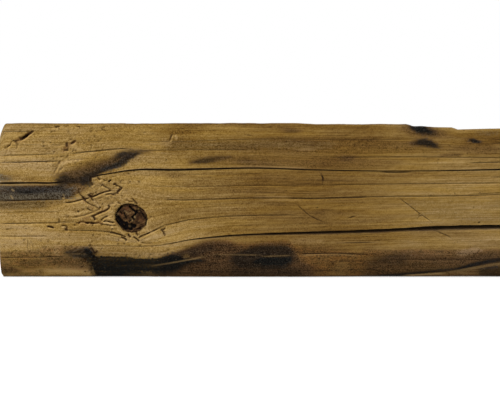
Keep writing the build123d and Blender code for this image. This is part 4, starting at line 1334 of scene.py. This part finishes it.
def build_mesh():
    """The whole beam as one closed mesh, with what its materials read stored on its points."""
    columns_count = len(columns)
    side_points = columns_count * count_rows
    x = sawn_end(place_x, place_z)
    points = [np.stack([x, place_y, place_z], axis=-1).reshape(-1, 3)]
    faces = []

    i = np.arange(columns_count - 1)[:, None] * count_rows
    j = np.arange(count_rows)[None, :]
    k = (j + 1) % count_rows
    low = i + 0 * j
    side = np.stack([low + j, low + count_rows + j, low + count_rows + k, low + k], axis=-1)
    faces.append(side.reshape(-1, 4))

    cap_dark = []
    start = side_points
    for side_name, column in (("left", 0), ("right", columns_count - 1)):
        y, z, saw, dark = end_cap(side_name, column)
        if side_name == "left":
            cap_x = saw + corner_wear(y, np.maximum(z, 0))
        else:
            cap_x = sawn_end(np.full(y.shape, LENGTH), z) - saw
        points.append(np.stack([cap_x, y, z], axis=-1)[:-1].reshape(-1, 3))
        points.append(np.array([[cap_x[-1, 0], PITH_Y, PITH_UP]]))
        cap_dark.append(np.append(dark[:-1].reshape(-1), dark[-1, 0]))
        ring = np.arange(count_rows)
        after = (ring + 1) % count_rows
        outer = column * count_rows
        for level in range(CAP_RINGS - 1):
            inner = start + level * count_rows
            quad = [outer + ring, outer + after, inner + after, inner + ring]
            if side_name == "right":
                quad.reverse()
            faces.append(np.stack(quad, axis=-1))
            outer = inner
        pith = start + (CAP_RINGS - 1) * count_rows
        fan = [outer + ring, outer + after, np.full(count_rows, pith)]
        if side_name == "right":
            fan.reverse()
        faces.append(np.stack(fan, axis=-1))
        start = pith + 1

    points = np.concatenate(points)
    points[:, 0] -= LENGTH / 2
    mesh = bpy.data.meshes.new("beam_wood")
    mesh.from_pydata((points * MM).tolist(), [], [f for block in faces for f in block.tolist()])
    side_faces = len(faces[0])
    slots = np.ones(len(mesh.polygons), dtype=np.int32)
    slots[:side_faces] = 0
    mesh.polygons.foreach_set("material_index", slots)
    mesh.polygons.foreach_set("use_smooth", np.ones(len(mesh.polygons), dtype=bool))
    cap_points = len(points) - side_points

    def store(name, values, fill=0.0):
        got = mesh.attributes.new(name, "FLOAT", "POINT")
        got.data.foreach_set("value", np.append(values.reshape(-1), np.full(cap_points, fill)))

    def store_vector(name, parts, fill=(0, 0, 0)):
        got = mesh.attributes.new(name, "FLOAT_VECTOR", "POINT")
        whole = np.stack([np.broadcast_to(p, base_x.shape) for p in parts], axis=-1).reshape(-1, 3)
        whole = np.vstack([whole, np.tile(fill, (cap_points, 1))])
        got.data.foreach_set("vector", whole.reshape(-1))

    on_front_arris, on_back_arris = row_face == "front_arris", row_face == "back_arris"
    faces_in_turn = [is_front, on_front_arris, is_top, on_back_arris, is_back]
    past_top, past_arris = row_label - TOP_START, row_label - BACK_ARRIS_START
    ring_y = np.select(
        faces_in_turn,
        [-FACE_OUT, row_label - TOP_LABEL - FACE_OUT, past_top - TOP_IN, past_arris + ARRIS_IN, FACE_OUT],
        FACE_OUT - (row_label - UNDER_START),
    )
    ring_z = np.select(
        faces_in_turn,
        [row_label, row_label, HEIGHT, HEIGHT - past_arris * 0.4, BACK_TOP - (row_label - BACK_START)],
        0.0,
    )
    store_vector("wood", [base_x, ring_y[None, :], ring_z[None, :]])
    store_vector("knot", [knot_x, knot_z, knot_away], (9, 9, 9))
    for name in CHANNELS:
        signed, half, strength = lines_at[name]
        store_vector("line_" + name, [signed, half, strength], NO_LINE)
    for kind in KINDS:
        store_vector("stain_" + kind, stain[kind], NO_STAIN)
    for name, values in painted.items():
        store("paint_" + name, values)
    store("tone", tone_at, 0.5)
    store("tint", tint_at)
    store("pit", pit, NO_PIT)
    store("torn", torn)
    store("deep", check_shade_and_highlight)
    crack = mesh.attributes.new("end_check", "FLOAT", "POINT")
    crack.data.foreach_set("value", np.concatenate([np.full(side_points, NO_END_CHECK), *cap_dark]))
    mesh.set_sharp_from_angle(angle=radians(SHARP_ANGLE))
    mesh.update()
    return mesh


class Nodes:
    """Short calls that add nodes to one material and join them."""

    def __init__(self, name):
        self.material = bpy.data.materials.new(name)
        self.material.use_nodes = True
        self.tree = self.material.node_tree
        self.tree.nodes.clear()
        self.shader = self.add("ShaderNodeBsdfPrincipled")
        output = self.add("ShaderNodeOutputMaterial")
        self.tree.links.new(self.shader.outputs[0], output.inputs["Surface"])

    def add(self, kind, **settings):
        node = self.tree.nodes.new(kind)
        for key, value in settings.items():
            setattr(node, key, value)
        return node

    def put(self, socket, value):
        if isinstance(value, bpy.types.NodeSocket):
            self.tree.links.new(value, socket)
        else:
            socket.default_value = value

    def math(self, operation, a, b=0.0, c=0.0, clamp=False):
        node = self.add("ShaderNodeMath", operation=operation, use_clamp=clamp)
        for socket, value in zip(node.inputs, (a, b, c)):
            self.put(socket, value)
        return node.outputs[0]

    def times(self, a, b, clamp=False):
        return self.math("MULTIPLY", a, b, clamp=clamp)

    def total(self, *terms):
        """Sum of (value, factor) pairs and plain values."""
        result = None
        for term in terms:
            value, factor = term if isinstance(term, tuple) else (term, 1.0)
            if result is None:
                result = self.times(value, factor)
            else:
                result = self.math("MULTIPLY_ADD", value, factor, result)
        return result

    def step(self, value, low, high, start=0.0, end=1.0):
        """A smooth step of a value from start at low to end at high."""
        node = self.add("ShaderNodeMapRange", interpolation_type="SMOOTHSTEP")
        for socket, given in zip(node.inputs, (value, low, high, start, end)):
            self.put(socket, given)
        return node.outputs[0]

    def mix(self, share, a, b, blend="MIX"):
        node = self.add("ShaderNodeMix", data_type="RGBA", blend_type=blend)
        self.put(node.inputs[0], share)
        self.put(node.inputs[6], a)
        self.put(node.inputs[7], b)
        return node.outputs[2]

    def scaled(self, vector, factors):
        node = self.add("ShaderNodeVectorMath", operation="MULTIPLY")
        self.put(node.inputs[0], vector)
        node.inputs[1].default_value = factors
        return node.outputs[0]

    def noise(self, vector, factors, detail=2.0, rough=0.55):
        """Noise from -1 to 1 or so over a scaled vector."""
        node = self.add("ShaderNodeTexNoise", noise_dimensions="3D")
        self.put(node.inputs["Vector"], self.scaled(vector, factors))
        node.inputs["Scale"].default_value = 1.0
        node.inputs["Detail"].default_value = detail
        node.inputs["Roughness"].default_value = rough
        return self.math("MULTIPLY_ADD", node.outputs[0], 2.0, -1.0)

    def grain(self, wood, along, across, detail=2.0, rough=0.55):
        """Noise drawn out along the grain, its spots about so many millimetres long and wide."""
        return self.noise(wood, (1 / along, 1 / across, 1 / across), detail, rough)

    def attribute(self, name, output="Fac"):
        return self.add("ShaderNodeAttribute", attribute_name=name).outputs[output]

    def parts(self, vector):
        node = self.add("ShaderNodeSeparateXYZ")
        self.put(node.inputs[0], vector)
        return node.outputs

    def colours(self, share, stops):
        """A colour band: stops are (place, colour)."""
        node = self.add("ShaderNodeValToRGB")
        band = node.color_ramp.elements
        while len(band) < len(stops):
            band.new(0.5)
        for element, (place, colour) in zip(band, stops):
            element.position = place
            element.color = colour
        self.put(node.inputs[0], share)
        return node.outputs[0]

    def bump(self, height, distance, strength=1.0, normal=None):
        node = self.add("ShaderNodeBump")
        node.inputs["Strength"].default_value = strength
        node.inputs["Distance"].default_value = distance
        self.put(node.inputs["Height"], height)
        if normal is not None:
            self.put(node.inputs["Normal"], normal)
        return node.outputs[0]


def seen(red, green, blue):
    """A colour as it looks on screen, from 0 to 255, turned into the shader's scale."""
    shares = [v / 255 for v in (red, green, blue)]
    return (*[v / 12.92 if v <= 0.04045 else ((v + 0.055) / 1.055) ** 2.4 for v in shares], 1.0)


STAIN_COLOURS = {
    "brown": seen(84, 60, 32),
    "dark": seen(56, 41, 26),
    "grey": seen(62, 58, 49),
    "char": seen(15, 15, 13),
    "tan": seen(118, 92, 50),
    "light": seen(150, 122, 82),
}


class SideNodes(Nodes):
    """The nodes of the side material, with the noises that its parts share."""

    def __init__(self, name):
        super().__init__(name)
        self.wood = self.attribute("wood", "Vector")
        self.place = self.add("ShaderNodeTexCoord").outputs["Object"]
        self.fine = self.grain(self.wood, 45, 0.6, 2.0, 0.5)
        self.streak = self.grain(self.wood, 80, 3.4, 3.0, 0.6)
        self.broad = self.grain(self.wood, 140, 13, 3.0, 0.55)
        self.fleck = self.grain(self.wood, 5, 0.9, 2.0, 0.6)
        self.hair = self.grain(self.wood, 38, 0.8, 1.0, 0.5)
        self.mottle = self.noise(self.place, (170, 170, 260), 3.0, 0.6)
        self.speck = self.noise(self.place, (1150, 1150, 1400), 1.0)
        self.grit = self.noise(self.place, (640, 640, 640), 0.0)
        self.grain_dots = self.noise(self.place, (430, 430, 560), 2.0, 0.6)
        leaning = self.add("ShaderNodeVectorRotate", rotation_type="Y_AXIS")
        self.put(leaning.inputs["Vector"], self.place)
        leaning.inputs["Angle"].default_value = radians(24)
        self.brush = self.noise(leaning.outputs[0], (60, 400, 380), 2.0, 0.5)
        self.hue = self.grain(self.wood, 70, 8, 3.0, 0.6)

    def woven(self, *terms, **factors):
        """Sum of terms and of the shared noises that are named, each by its factor."""
        return self.total(*terms, *[(getattr(self, name), factor) for name, factor in factors.items()])


def clean_wood(n):
    """The wood without stains: its colour, and where its hair cracks are."""
    busy = n.step(n.parts(n.wood)[0], 90, 330, 1.15, 0.45)
    grained = n.woven(n.attribute("tone"), fine=0.42, streak=0.17, broad=0.26, mottle=0.12, brush=0.12)
    dotted = n.times(n.woven(speck=0.66, grain_dots=0.24), busy)
    tone = n.woven(grained, dotted, fleck=0.1)
    colour = n.colours(tone, [
        (0.0, seen(60, 41, 18)),
        (0.2, seen(90, 64, 27)),
        (0.4, seen(114, 86, 40)),
        (0.6, seen(133, 105, 54)),
        (0.8, seen(152, 123, 70)),
        (1.0, seen(172, 143, 93)),
    ])
    golden = n.mix(1.0, colour, (1.02, 1.0, 0.88, 1.0), "MULTIPLY")
    silver = n.mix(1.0, colour, (0.98, 1.0, 1.16, 1.0), "MULTIPLY")
    colour = n.mix(n.step(n.hue, -0.3, 0.3), golden, silver)
    cracks = n.step(n.hair, 0.38, 0.62, 0.0, 0.35)
    colour = n.mix(cracks, colour, seen(62, 42, 20))
    dots = n.step(n.grit, 0.52, 0.66, 0.0, 0.55)
    colour = n.mix(dots, colour, seen(58, 40, 20))
    return colour, cracks


def stained(n, colour):
    """The stains, and how warm or cool the wood is. Gives the mask of each stain too."""
    ragged = n.woven(fine=0.8, streak=1.2, mottle=1.5, grain_dots=1.3, speck=2.2)
    streaked = n.woven(fine=1.1, streak=1.7, mottle=0.25, grain_dots=0.3, speck=1.0)
    worn = n.woven(1.0, fine=1.0, streak=0.8, mottle=0.9, grain_dots=1.7, speck=4.6)
    worn = n.math("MAXIMUM", worn, 0.1)
    brown_worn = n.woven(1.0, fine=0.8, streak=0.6, mottle=0.3, grain_dots=0.7, speck=2.2)
    soft_worn = n.woven(1.0, fine=0.4, streak=0.3, speck=0.6)
    dotted = n.woven(1.0, streak=-0.3, mottle=-0.2, grain_dots=-0.1, speck=-0.3)
    even = n.woven(1.0, streak=0.2, grain_dots=0.2, speck=0.3)
    masks = {}
    for kind in KINDS:
        depth, strength, soft = n.parts(n.attribute("stain_" + kind, "Vector"))
        reach = n.times(soft, 0.8)
        moved = n.math("MINIMUM", n.times(soft, 0.75), 1.6 if kind == "brown" else 3.0)
        moved = n.times(streaked if kind == "brown" else ragged, moved)
        shape = n.step(n.total(depth, moved), n.times(reach, -1.0), reach)
        here = n.times(strength, dotted if kind == "brown" else even)
        masks[kind] = n.times(shape, here, clamp=True)
        ink = STAIN_COLOURS[kind]
        if kind == "brown":
            low_down = n.step(n.parts(n.wood)[2], 38, 50, 0.7, 0.0)
            rusty = n.times(n.step(n.mottle, -0.2, 0.3), low_down)
            rusty = n.times(rusty, n.step(n.parts(n.wood)[0], 60, 130, 1.0, 0.5))
            ink = n.mix(rusty, ink, seen(116, 72, 32))
        grained = {"brown": brown_worn, "tan": soft_worn, "light": soft_worn}.get(kind, worn)
        ink = n.mix(1.0, ink, grained, "MULTIPLY")
        colour = n.mix(masks[kind], colour, ink)
    dirty = n.math("MAXIMUM", masks["dark"], n.times(masks["char"], 0.5))
    glint = n.times(n.step(n.speck, 0.32, 0.5, 0.0, 0.5), dirty)
    colour = n.mix(glint, colour, seen(122, 104, 78))
    cool = n.total(0.5, (n.attribute("tint"), 0.5))
    tint = n.mix(cool, (1.03, 1.0, 0.76, 1.0), (0.96, 1.0, 1.27, 1.0))
    colour = n.mix(1.0, colour, tint, "MULTIPLY")
    return colour, masks


def lined(n, colour):
    """Lines along the grain: pale threads, some of them painted highlights, and dark splits with a
    painted highlight on their lower lip.
    """
    patchy = n.step(n.woven(fleck=0.6, streak=0.8), -0.42, 0.0, 0.55, 1.0)
    line_depth = None
    signed, half, strength = n.parts(n.attribute("line_pale_lines", "Vector"))
    off = n.math("SUBTRACT", n.math("ABSOLUTE", n.woven(signed, fleck=0.3, streak=0.4)), half)
    strength = n.times(strength, n.woven(0.95, streak=0.8, speck=0.6))
    # Pale threads of the wood, some of them painted highlights beside checks and lines
    thread = n.times(n.step(off, -0.5, 0.6, 1.0, 0.0), strength, clamp=True)
    colour = n.mix(thread, colour, seen(152, 124, 80))
    for name in DARK_CHANNELS:
        signed, half, strength = n.parts(n.attribute("line_" + name, "Vector"))
        strength = n.times(strength, patchy)
        wobble = n.woven(signed, fleck=0.3, streak=0.3)
        off = n.math("SUBTRACT", n.math("ABSOLUTE", wobble), n.times(half, 0.8))
        line = n.times(n.step(off, -0.3, 0.45, 1.0, 0.0), strength, clamp=True)
        # Painted highlight on the lower lip of each dark split
        lower = n.math("ADD", wobble, n.math("ADD", half, 0.7))
        below = n.math("SUBTRACT", n.math("ABSOLUTE", lower), 0.2)
        lip = n.times(n.step(below, 0.0, 0.6, 0.3, 0.0), strength, clamp=True)
        colour = n.mix(lip, colour, n.mix(1.0, colour, (1.6, 1.55, 1.45, 1.0), "MULTIPLY"))
        colour = n.mix(line, colour, seen(40, 26, 14))
        line_depth = line if line_depth is None else n.math("MAXIMUM", line_depth, line)
    return colour, line_depth


def knotted(n, colour):
    """The knot: its dark heart with rings and splits, and its rim."""
    knot = n.attribute("knot", "Vector")
    radius = n.add("ShaderNodeVectorMath", operation="LENGTH")
    n.put(radius.inputs[0], knot)
    radius = radius.outputs["Value"]
    rim_noise = n.noise(knot, (2.2, 2.2, 2.2), 3.0, 0.6)
    edge = n.woven(radius, (rim_noise, 0.1), speck=0.03)
    rings = n.noise(knot, (5.5, 1.6, 1.0), 3.0, 0.6)
    turned = n.add("ShaderNodeVectorRotate", rotation_type="Z_AXIS")
    n.put(turned.inputs["Vector"], knot)
    turned.inputs["Angle"].default_value = radians(40)
    rays = n.noise(turned.outputs[0], (8.0, 1.1, 1.0), 3.0, 0.6)
    heart_tone = n.woven(0.5, (rays, 0.7), (rings, 0.3), mottle=0.7, speck=0.5)
    heart = n.colours(heart_tone, [
        (0.0, seen(22, 15, 10)),
        (0.35, seen(50, 34, 20)),
        (0.65, seen(80, 57, 33)),
        (1.0, seen(128, 100, 62)),
    ])
    in_knot = n.step(edge, 0.97, 1.0, 1.0, 0.0)
    colour = n.mix(in_knot, colour, heart)
    rim = n.step(n.math("ABSOLUTE", n.math("SUBTRACT", edge, 0.985)), 0.01, 0.06, 1.0, 0.0)
    rim = n.times(rim, n.step(rings, -0.3, 0.2, 0.4, 1.0))
    rim = n.times(rim, n.step(n.parts(knot)[0], -0.5, 0.6, 0.6, 0.1))
    colour = n.mix(rim, colour, seen(48, 33, 19))
    return colour


def marked(n, colour, char):
    """The small strokes: rust, rot, painted highlights on lit lips, dark marks that fade on char, and
    pale strokes that are partly pale fibres and partly painted highlights.
    """
    rust = n.times(n.attribute("paint_rust"), n.woven(0.9, mottle=0.8), clamp=True)
    colour = n.mix(rust, colour, seen(104, 64, 40))
    rot = n.step(n.woven(n.attribute("paint_rot"), speck=0.3, mottle=0.3), 0.22, 0.62)
    colour = n.mix(rot, colour, seen(14, 10, 9))
    broken = n.woven(1.05, mottle=0.8, speck=0.8)
    # Painted highlight on the lit lip of each dark stroke
    lip = n.times(n.attribute("paint_lip"), broken, clamp=True)
    colour = n.mix(lip, colour, seen(184, 150, 90))
    drawn = n.step(n.woven(n.attribute("paint_ink"), speck=0.7, mottle=0.4), 0.1, 1.0)
    drawn = n.times(drawn, n.total(1.0, (char, -0.85)))
    colour = n.mix(drawn, colour, seen(52, 33, 18))
    # Pale strokes: partly pale fibres, partly painted highlights beside the dark strokes
    pale = n.times(n.attribute("paint_pale"), n.woven(0.85, speck=0.9), clamp=True)
    colour = n.mix(pale, colour, seen(200, 168, 114))
    return colour, drawn


def opened_up(n, colour):
    """Painted shade in the pits and inside the checks, and a painted highlight on the lower lips of the
    checks.
    """
    # Painted shade inside the pits
    hole = n.step(n.woven(n.attribute("pit"), speck=0.2), -0.25, 0.3)
    colour = n.mix(hole, colour, seen(34, 23, 14))
    deep = n.attribute("deep")
    # Painted highlight on the lower lip of each check
    lit_lip = n.times(n.step(deep, -0.9, -0.3, 0.45, 0.0), n.woven(0.7, streak=1.4), clamp=True)
    colour = n.mix(lit_lip, colour, seen(158, 138, 96))
    # Painted shade inside each check
    check_shade = n.times(n.step(deep, 0.0, 0.05), n.step(deep, 0.0, 0.3, 0.7, 1.0))
    colour = n.mix(check_shade, colour, seen(66, 53, 42))
    return colour, hole


def side_material():
    """Weathered face grain: tone, streaks, stains, fine lines, checks, pits and the knot."""
    n = SideNodes("weathered_wood_side")
    colour, cracks = clean_wood(n)
    colour, masks = stained(n, colour)
    colour, line_depth = lined(n, colour)
    colour = knotted(n, colour)
    colour, drawn = marked(n, colour, masks["char"])
    colour, hole = opened_up(n, colour)
    n.put(n.shader.inputs["Base Color"], colour)
    n.put(n.shader.inputs["Roughness"], n.total(0.84, (n.streak, 0.05), (masks["char"], -0.1)))
    n.shader.inputs["Specular IOR Level"].default_value = 0.04

    torn = n.attribute("torn")
    grain = n.total((n.fine, 0.5), (n.streak, 0.45), (n.fleck, 0.3), (n.speck, 0.2), (cracks, -0.8))
    rough = n.woven(mottle=1.6, speck=0.8)
    height = n.total(
        grain,
        (n.times(rough, torn), 1.0),
        (line_depth, -2.0),
        (hole, -1.5),
        (drawn, -1.2),
    )
    n.put(n.shader.inputs["Normal"], n.bump(height, 0.0004, 0.9))
    return n.material


def end_material():
    """End grain: growth rings round the pith, fine rays, saw marks, and checks darkened with painted
    shade.
    """
    n = Nodes("weathered_wood_end")
    place = n.add("ShaderNodeTexCoord").outputs["Object"]
    x, y, z = n.parts(place)
    warp = n.noise(place, (30, 30, 30), 2.0)
    dy = n.total((y, 1000.0), -PITH_Y, (warp, 1.6))
    dz = n.total((z, 1000.0), -PITH_UP, (warp, 1.2))
    radius = n.math("SQRT", n.total((n.times(dy, dy), 1.0), (n.times(dz, dz), 1.0)))
    angle = n.math("ARCTAN2", dz, dy)
    width = n.total((n.math("POWER", n.math("DIVIDE", radius, 3.1), 0.93), 1.0), (warp, 0.25))
    ring = n.math("FRACT", width)
    late = n.times(n.step(ring, 0.35, 0.92), n.step(ring, 0.93, 1.0, 1.0, 0.0))
    rays = n.add("ShaderNodeCombineXYZ")
    n.put(rays.inputs[0], n.times(angle, 34.0))
    n.put(rays.inputs[1], n.times(radius, 0.05))
    ray = n.noise(rays.outputs[0], (1.0, 1.0, 1.0), 3.0, 0.6)
    mottle = n.noise(place, (60, 60, 60), 3.0, 0.6)
    speck = n.noise(place, (700, 700, 700), 2.0)
    saw = n.noise(place, (0, 12, 420), 2.0)
    tone = n.total(0.52, (late, -0.26), (ray, 0.1), (mottle, 0.2), (speck, 0.12), (saw, 0.08))
    colour = n.colours(tone, [
        (0.0, seen(50, 38, 25)),
        (0.3, seen(88, 67, 40)),
        (0.6, seen(122, 98, 62)),
        (1.0, seen(156, 131, 92)),
    ])
    weathered = n.step(n.total(n.noise(place, (16, 16, 16), 2.0), (speck, 0.2)), 0.0, 0.7, 0.0, 0.6)
    colour = n.mix(weathered, colour, seen(70, 62, 52))
    # Painted shade inside the end checks
    crack = n.step(n.total(n.attribute("end_check"), (speck, 0.2)), -0.25, 0.35)
    colour = n.mix(crack, colour, seen(24, 18, 14))
    n.put(n.shader.inputs["Base Color"], colour)
    n.shader.inputs["Roughness"].default_value = 0.88
    n.shader.inputs["Specular IOR Level"].default_value = 0.08
    height = n.total((late, 0.5), (ray, 0.3), (speck, 0.4), (saw, 0.5), (crack, -1.5))
    n.put(n.shader.inputs["Normal"], n.bump(height, 0.0004, 0.9))
    return n.material


def place_beam():
    """Makes the dressed beam and tells the frame what it stands for."""
    wood = bpy.data.objects.new("beam_wood", build_mesh())
    bpy.context.collection.objects.link(wood)
    wood.data.materials.append(side_material())
    wood.data.materials.append(end_material())
    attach(wood, "root")
    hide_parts("beam")


# The studio: a pale floor that meets a white world, and soft light from above and in front

AMBIENT = 0.55
FLOOR_REACH, FLOOR_GREY, FLOOR_LIFT = 30.0, 0.8, 0.3
# A lamp: strength, elevation, azimuth, spread
KEY = (2.3, 48, -18, 25)
FILL = (0.7, 40, 150, 40)


def seen_ray(tree):
    """1 for camera, glossy and transmission rays, which see the white background."""
    path = tree.nodes.new("ShaderNodeLightPath")
    total = path.outputs["Is Camera Ray"]
    for name in ("Is Glossy Ray", "Is Transmission Ray"):
        both = tree.nodes.new("ShaderNodeMath")
        both.operation = "MAXIMUM"
        tree.links.new(total, both.inputs[0])
        tree.links.new(path.outputs[name], both.inputs[1])
        total = both.outputs[0]
    return total


def make_world():
    """A world that is white to the camera and dimmer as a light."""
    world = bpy.data.worlds.new("studio")
    bpy.context.scene.world = world
    world.use_nodes = True
    tree = world.node_tree
    background = tree.nodes["Background"]
    background.inputs["Color"].default_value = (1, 1, 1, 1)
    strength = tree.nodes.new("ShaderNodeMapRange")
    strength.inputs["To Min"].default_value = AMBIENT
    strength.inputs["To Max"].default_value = 1.0
    tree.links.new(seen_ray(tree), strength.inputs["Value"])
    tree.links.new(strength.outputs[0], background.inputs["Strength"])


def make_floor():
    """A pale floor, lifted a little towards the white of the world."""
    mesh = bpy.data.meshes.new("floor")
    turns = ((-1, -1), (1, -1), (1, 1), (-1, 1))
    corners = [(FLOOR_REACH * x, FLOOR_REACH * y, 0) for x, y in turns]
    mesh.from_pydata(corners, [], [(0, 1, 2, 3)])
    floor = bpy.data.objects.new("floor", mesh)
    bpy.context.collection.objects.link(floor)
    material = bpy.data.materials.new("studio_floor")
    material.use_nodes = True
    tree = material.node_tree
    tree.nodes.clear()
    diffuse = tree.nodes.new("ShaderNodeBsdfDiffuse")
    diffuse.inputs["Color"].default_value = (FLOOR_GREY, FLOOR_GREY, FLOOR_GREY, 1)
    lift = tree.nodes.new("ShaderNodeEmission")
    lifted_by = tree.nodes.new("ShaderNodeMath")
    lifted_by.operation = "MULTIPLY"
    lifted_by.inputs[1].default_value = FLOOR_LIFT
    tree.links.new(seen_ray(tree), lifted_by.inputs[0])
    tree.links.new(lifted_by.outputs[0], lift.inputs["Strength"])
    both = tree.nodes.new("ShaderNodeAddShader")
    tree.links.new(diffuse.outputs[0], both.inputs[0])
    tree.links.new(lift.outputs[0], both.inputs[1])
    output = tree.nodes.new("ShaderNodeOutputMaterial")
    tree.links.new(both.outputs[0], output.inputs["Surface"])
    mesh.materials.append(material)


def make_sun(name, strength, elevation, azimuth, spread):
    """A soft lamp from an elevation, and an azimuth of 0 in front and 90 from the right."""
    lamp = bpy.data.lights.new(name, "SUN")
    lamp.energy = strength
    lamp.angle = radians(spread)
    sun = bpy.data.objects.new(name, lamp)
    sun.rotation_euler = (radians(90 - elevation), 0, radians(azimuth))
    bpy.context.collection.objects.link(sun)


def make_camera():
    """The camera of the photograph, level and square to the front face."""
    lens = bpy.data.cameras.new("camera")
    lens.lens = LENS
    lens.sensor_width = SENSOR
    camera = bpy.data.objects.new("camera", lens)
    distance = SHOWN * MM * LENS / SENSOR * CAMERA_NEARER
    middle_x = (SHOWN / 2 + CAMERA_RIGHT - LENGTH / 2) * MM
    camera.location = (middle_x, -DEPTH / 2 * MM - distance, HEIGHT / 2 * MM)
    camera.rotation_euler = (radians(90), 0, 0)
    bpy.context.collection.objects.link(camera)
    bpy.context.scene.camera = camera


make_camera()
make_world()
make_floor()
make_sun("key", *KEY)
make_sun("fill", *FILL)
place_beam()
bpy.context.scene.view_settings.view_transform = "Standard"
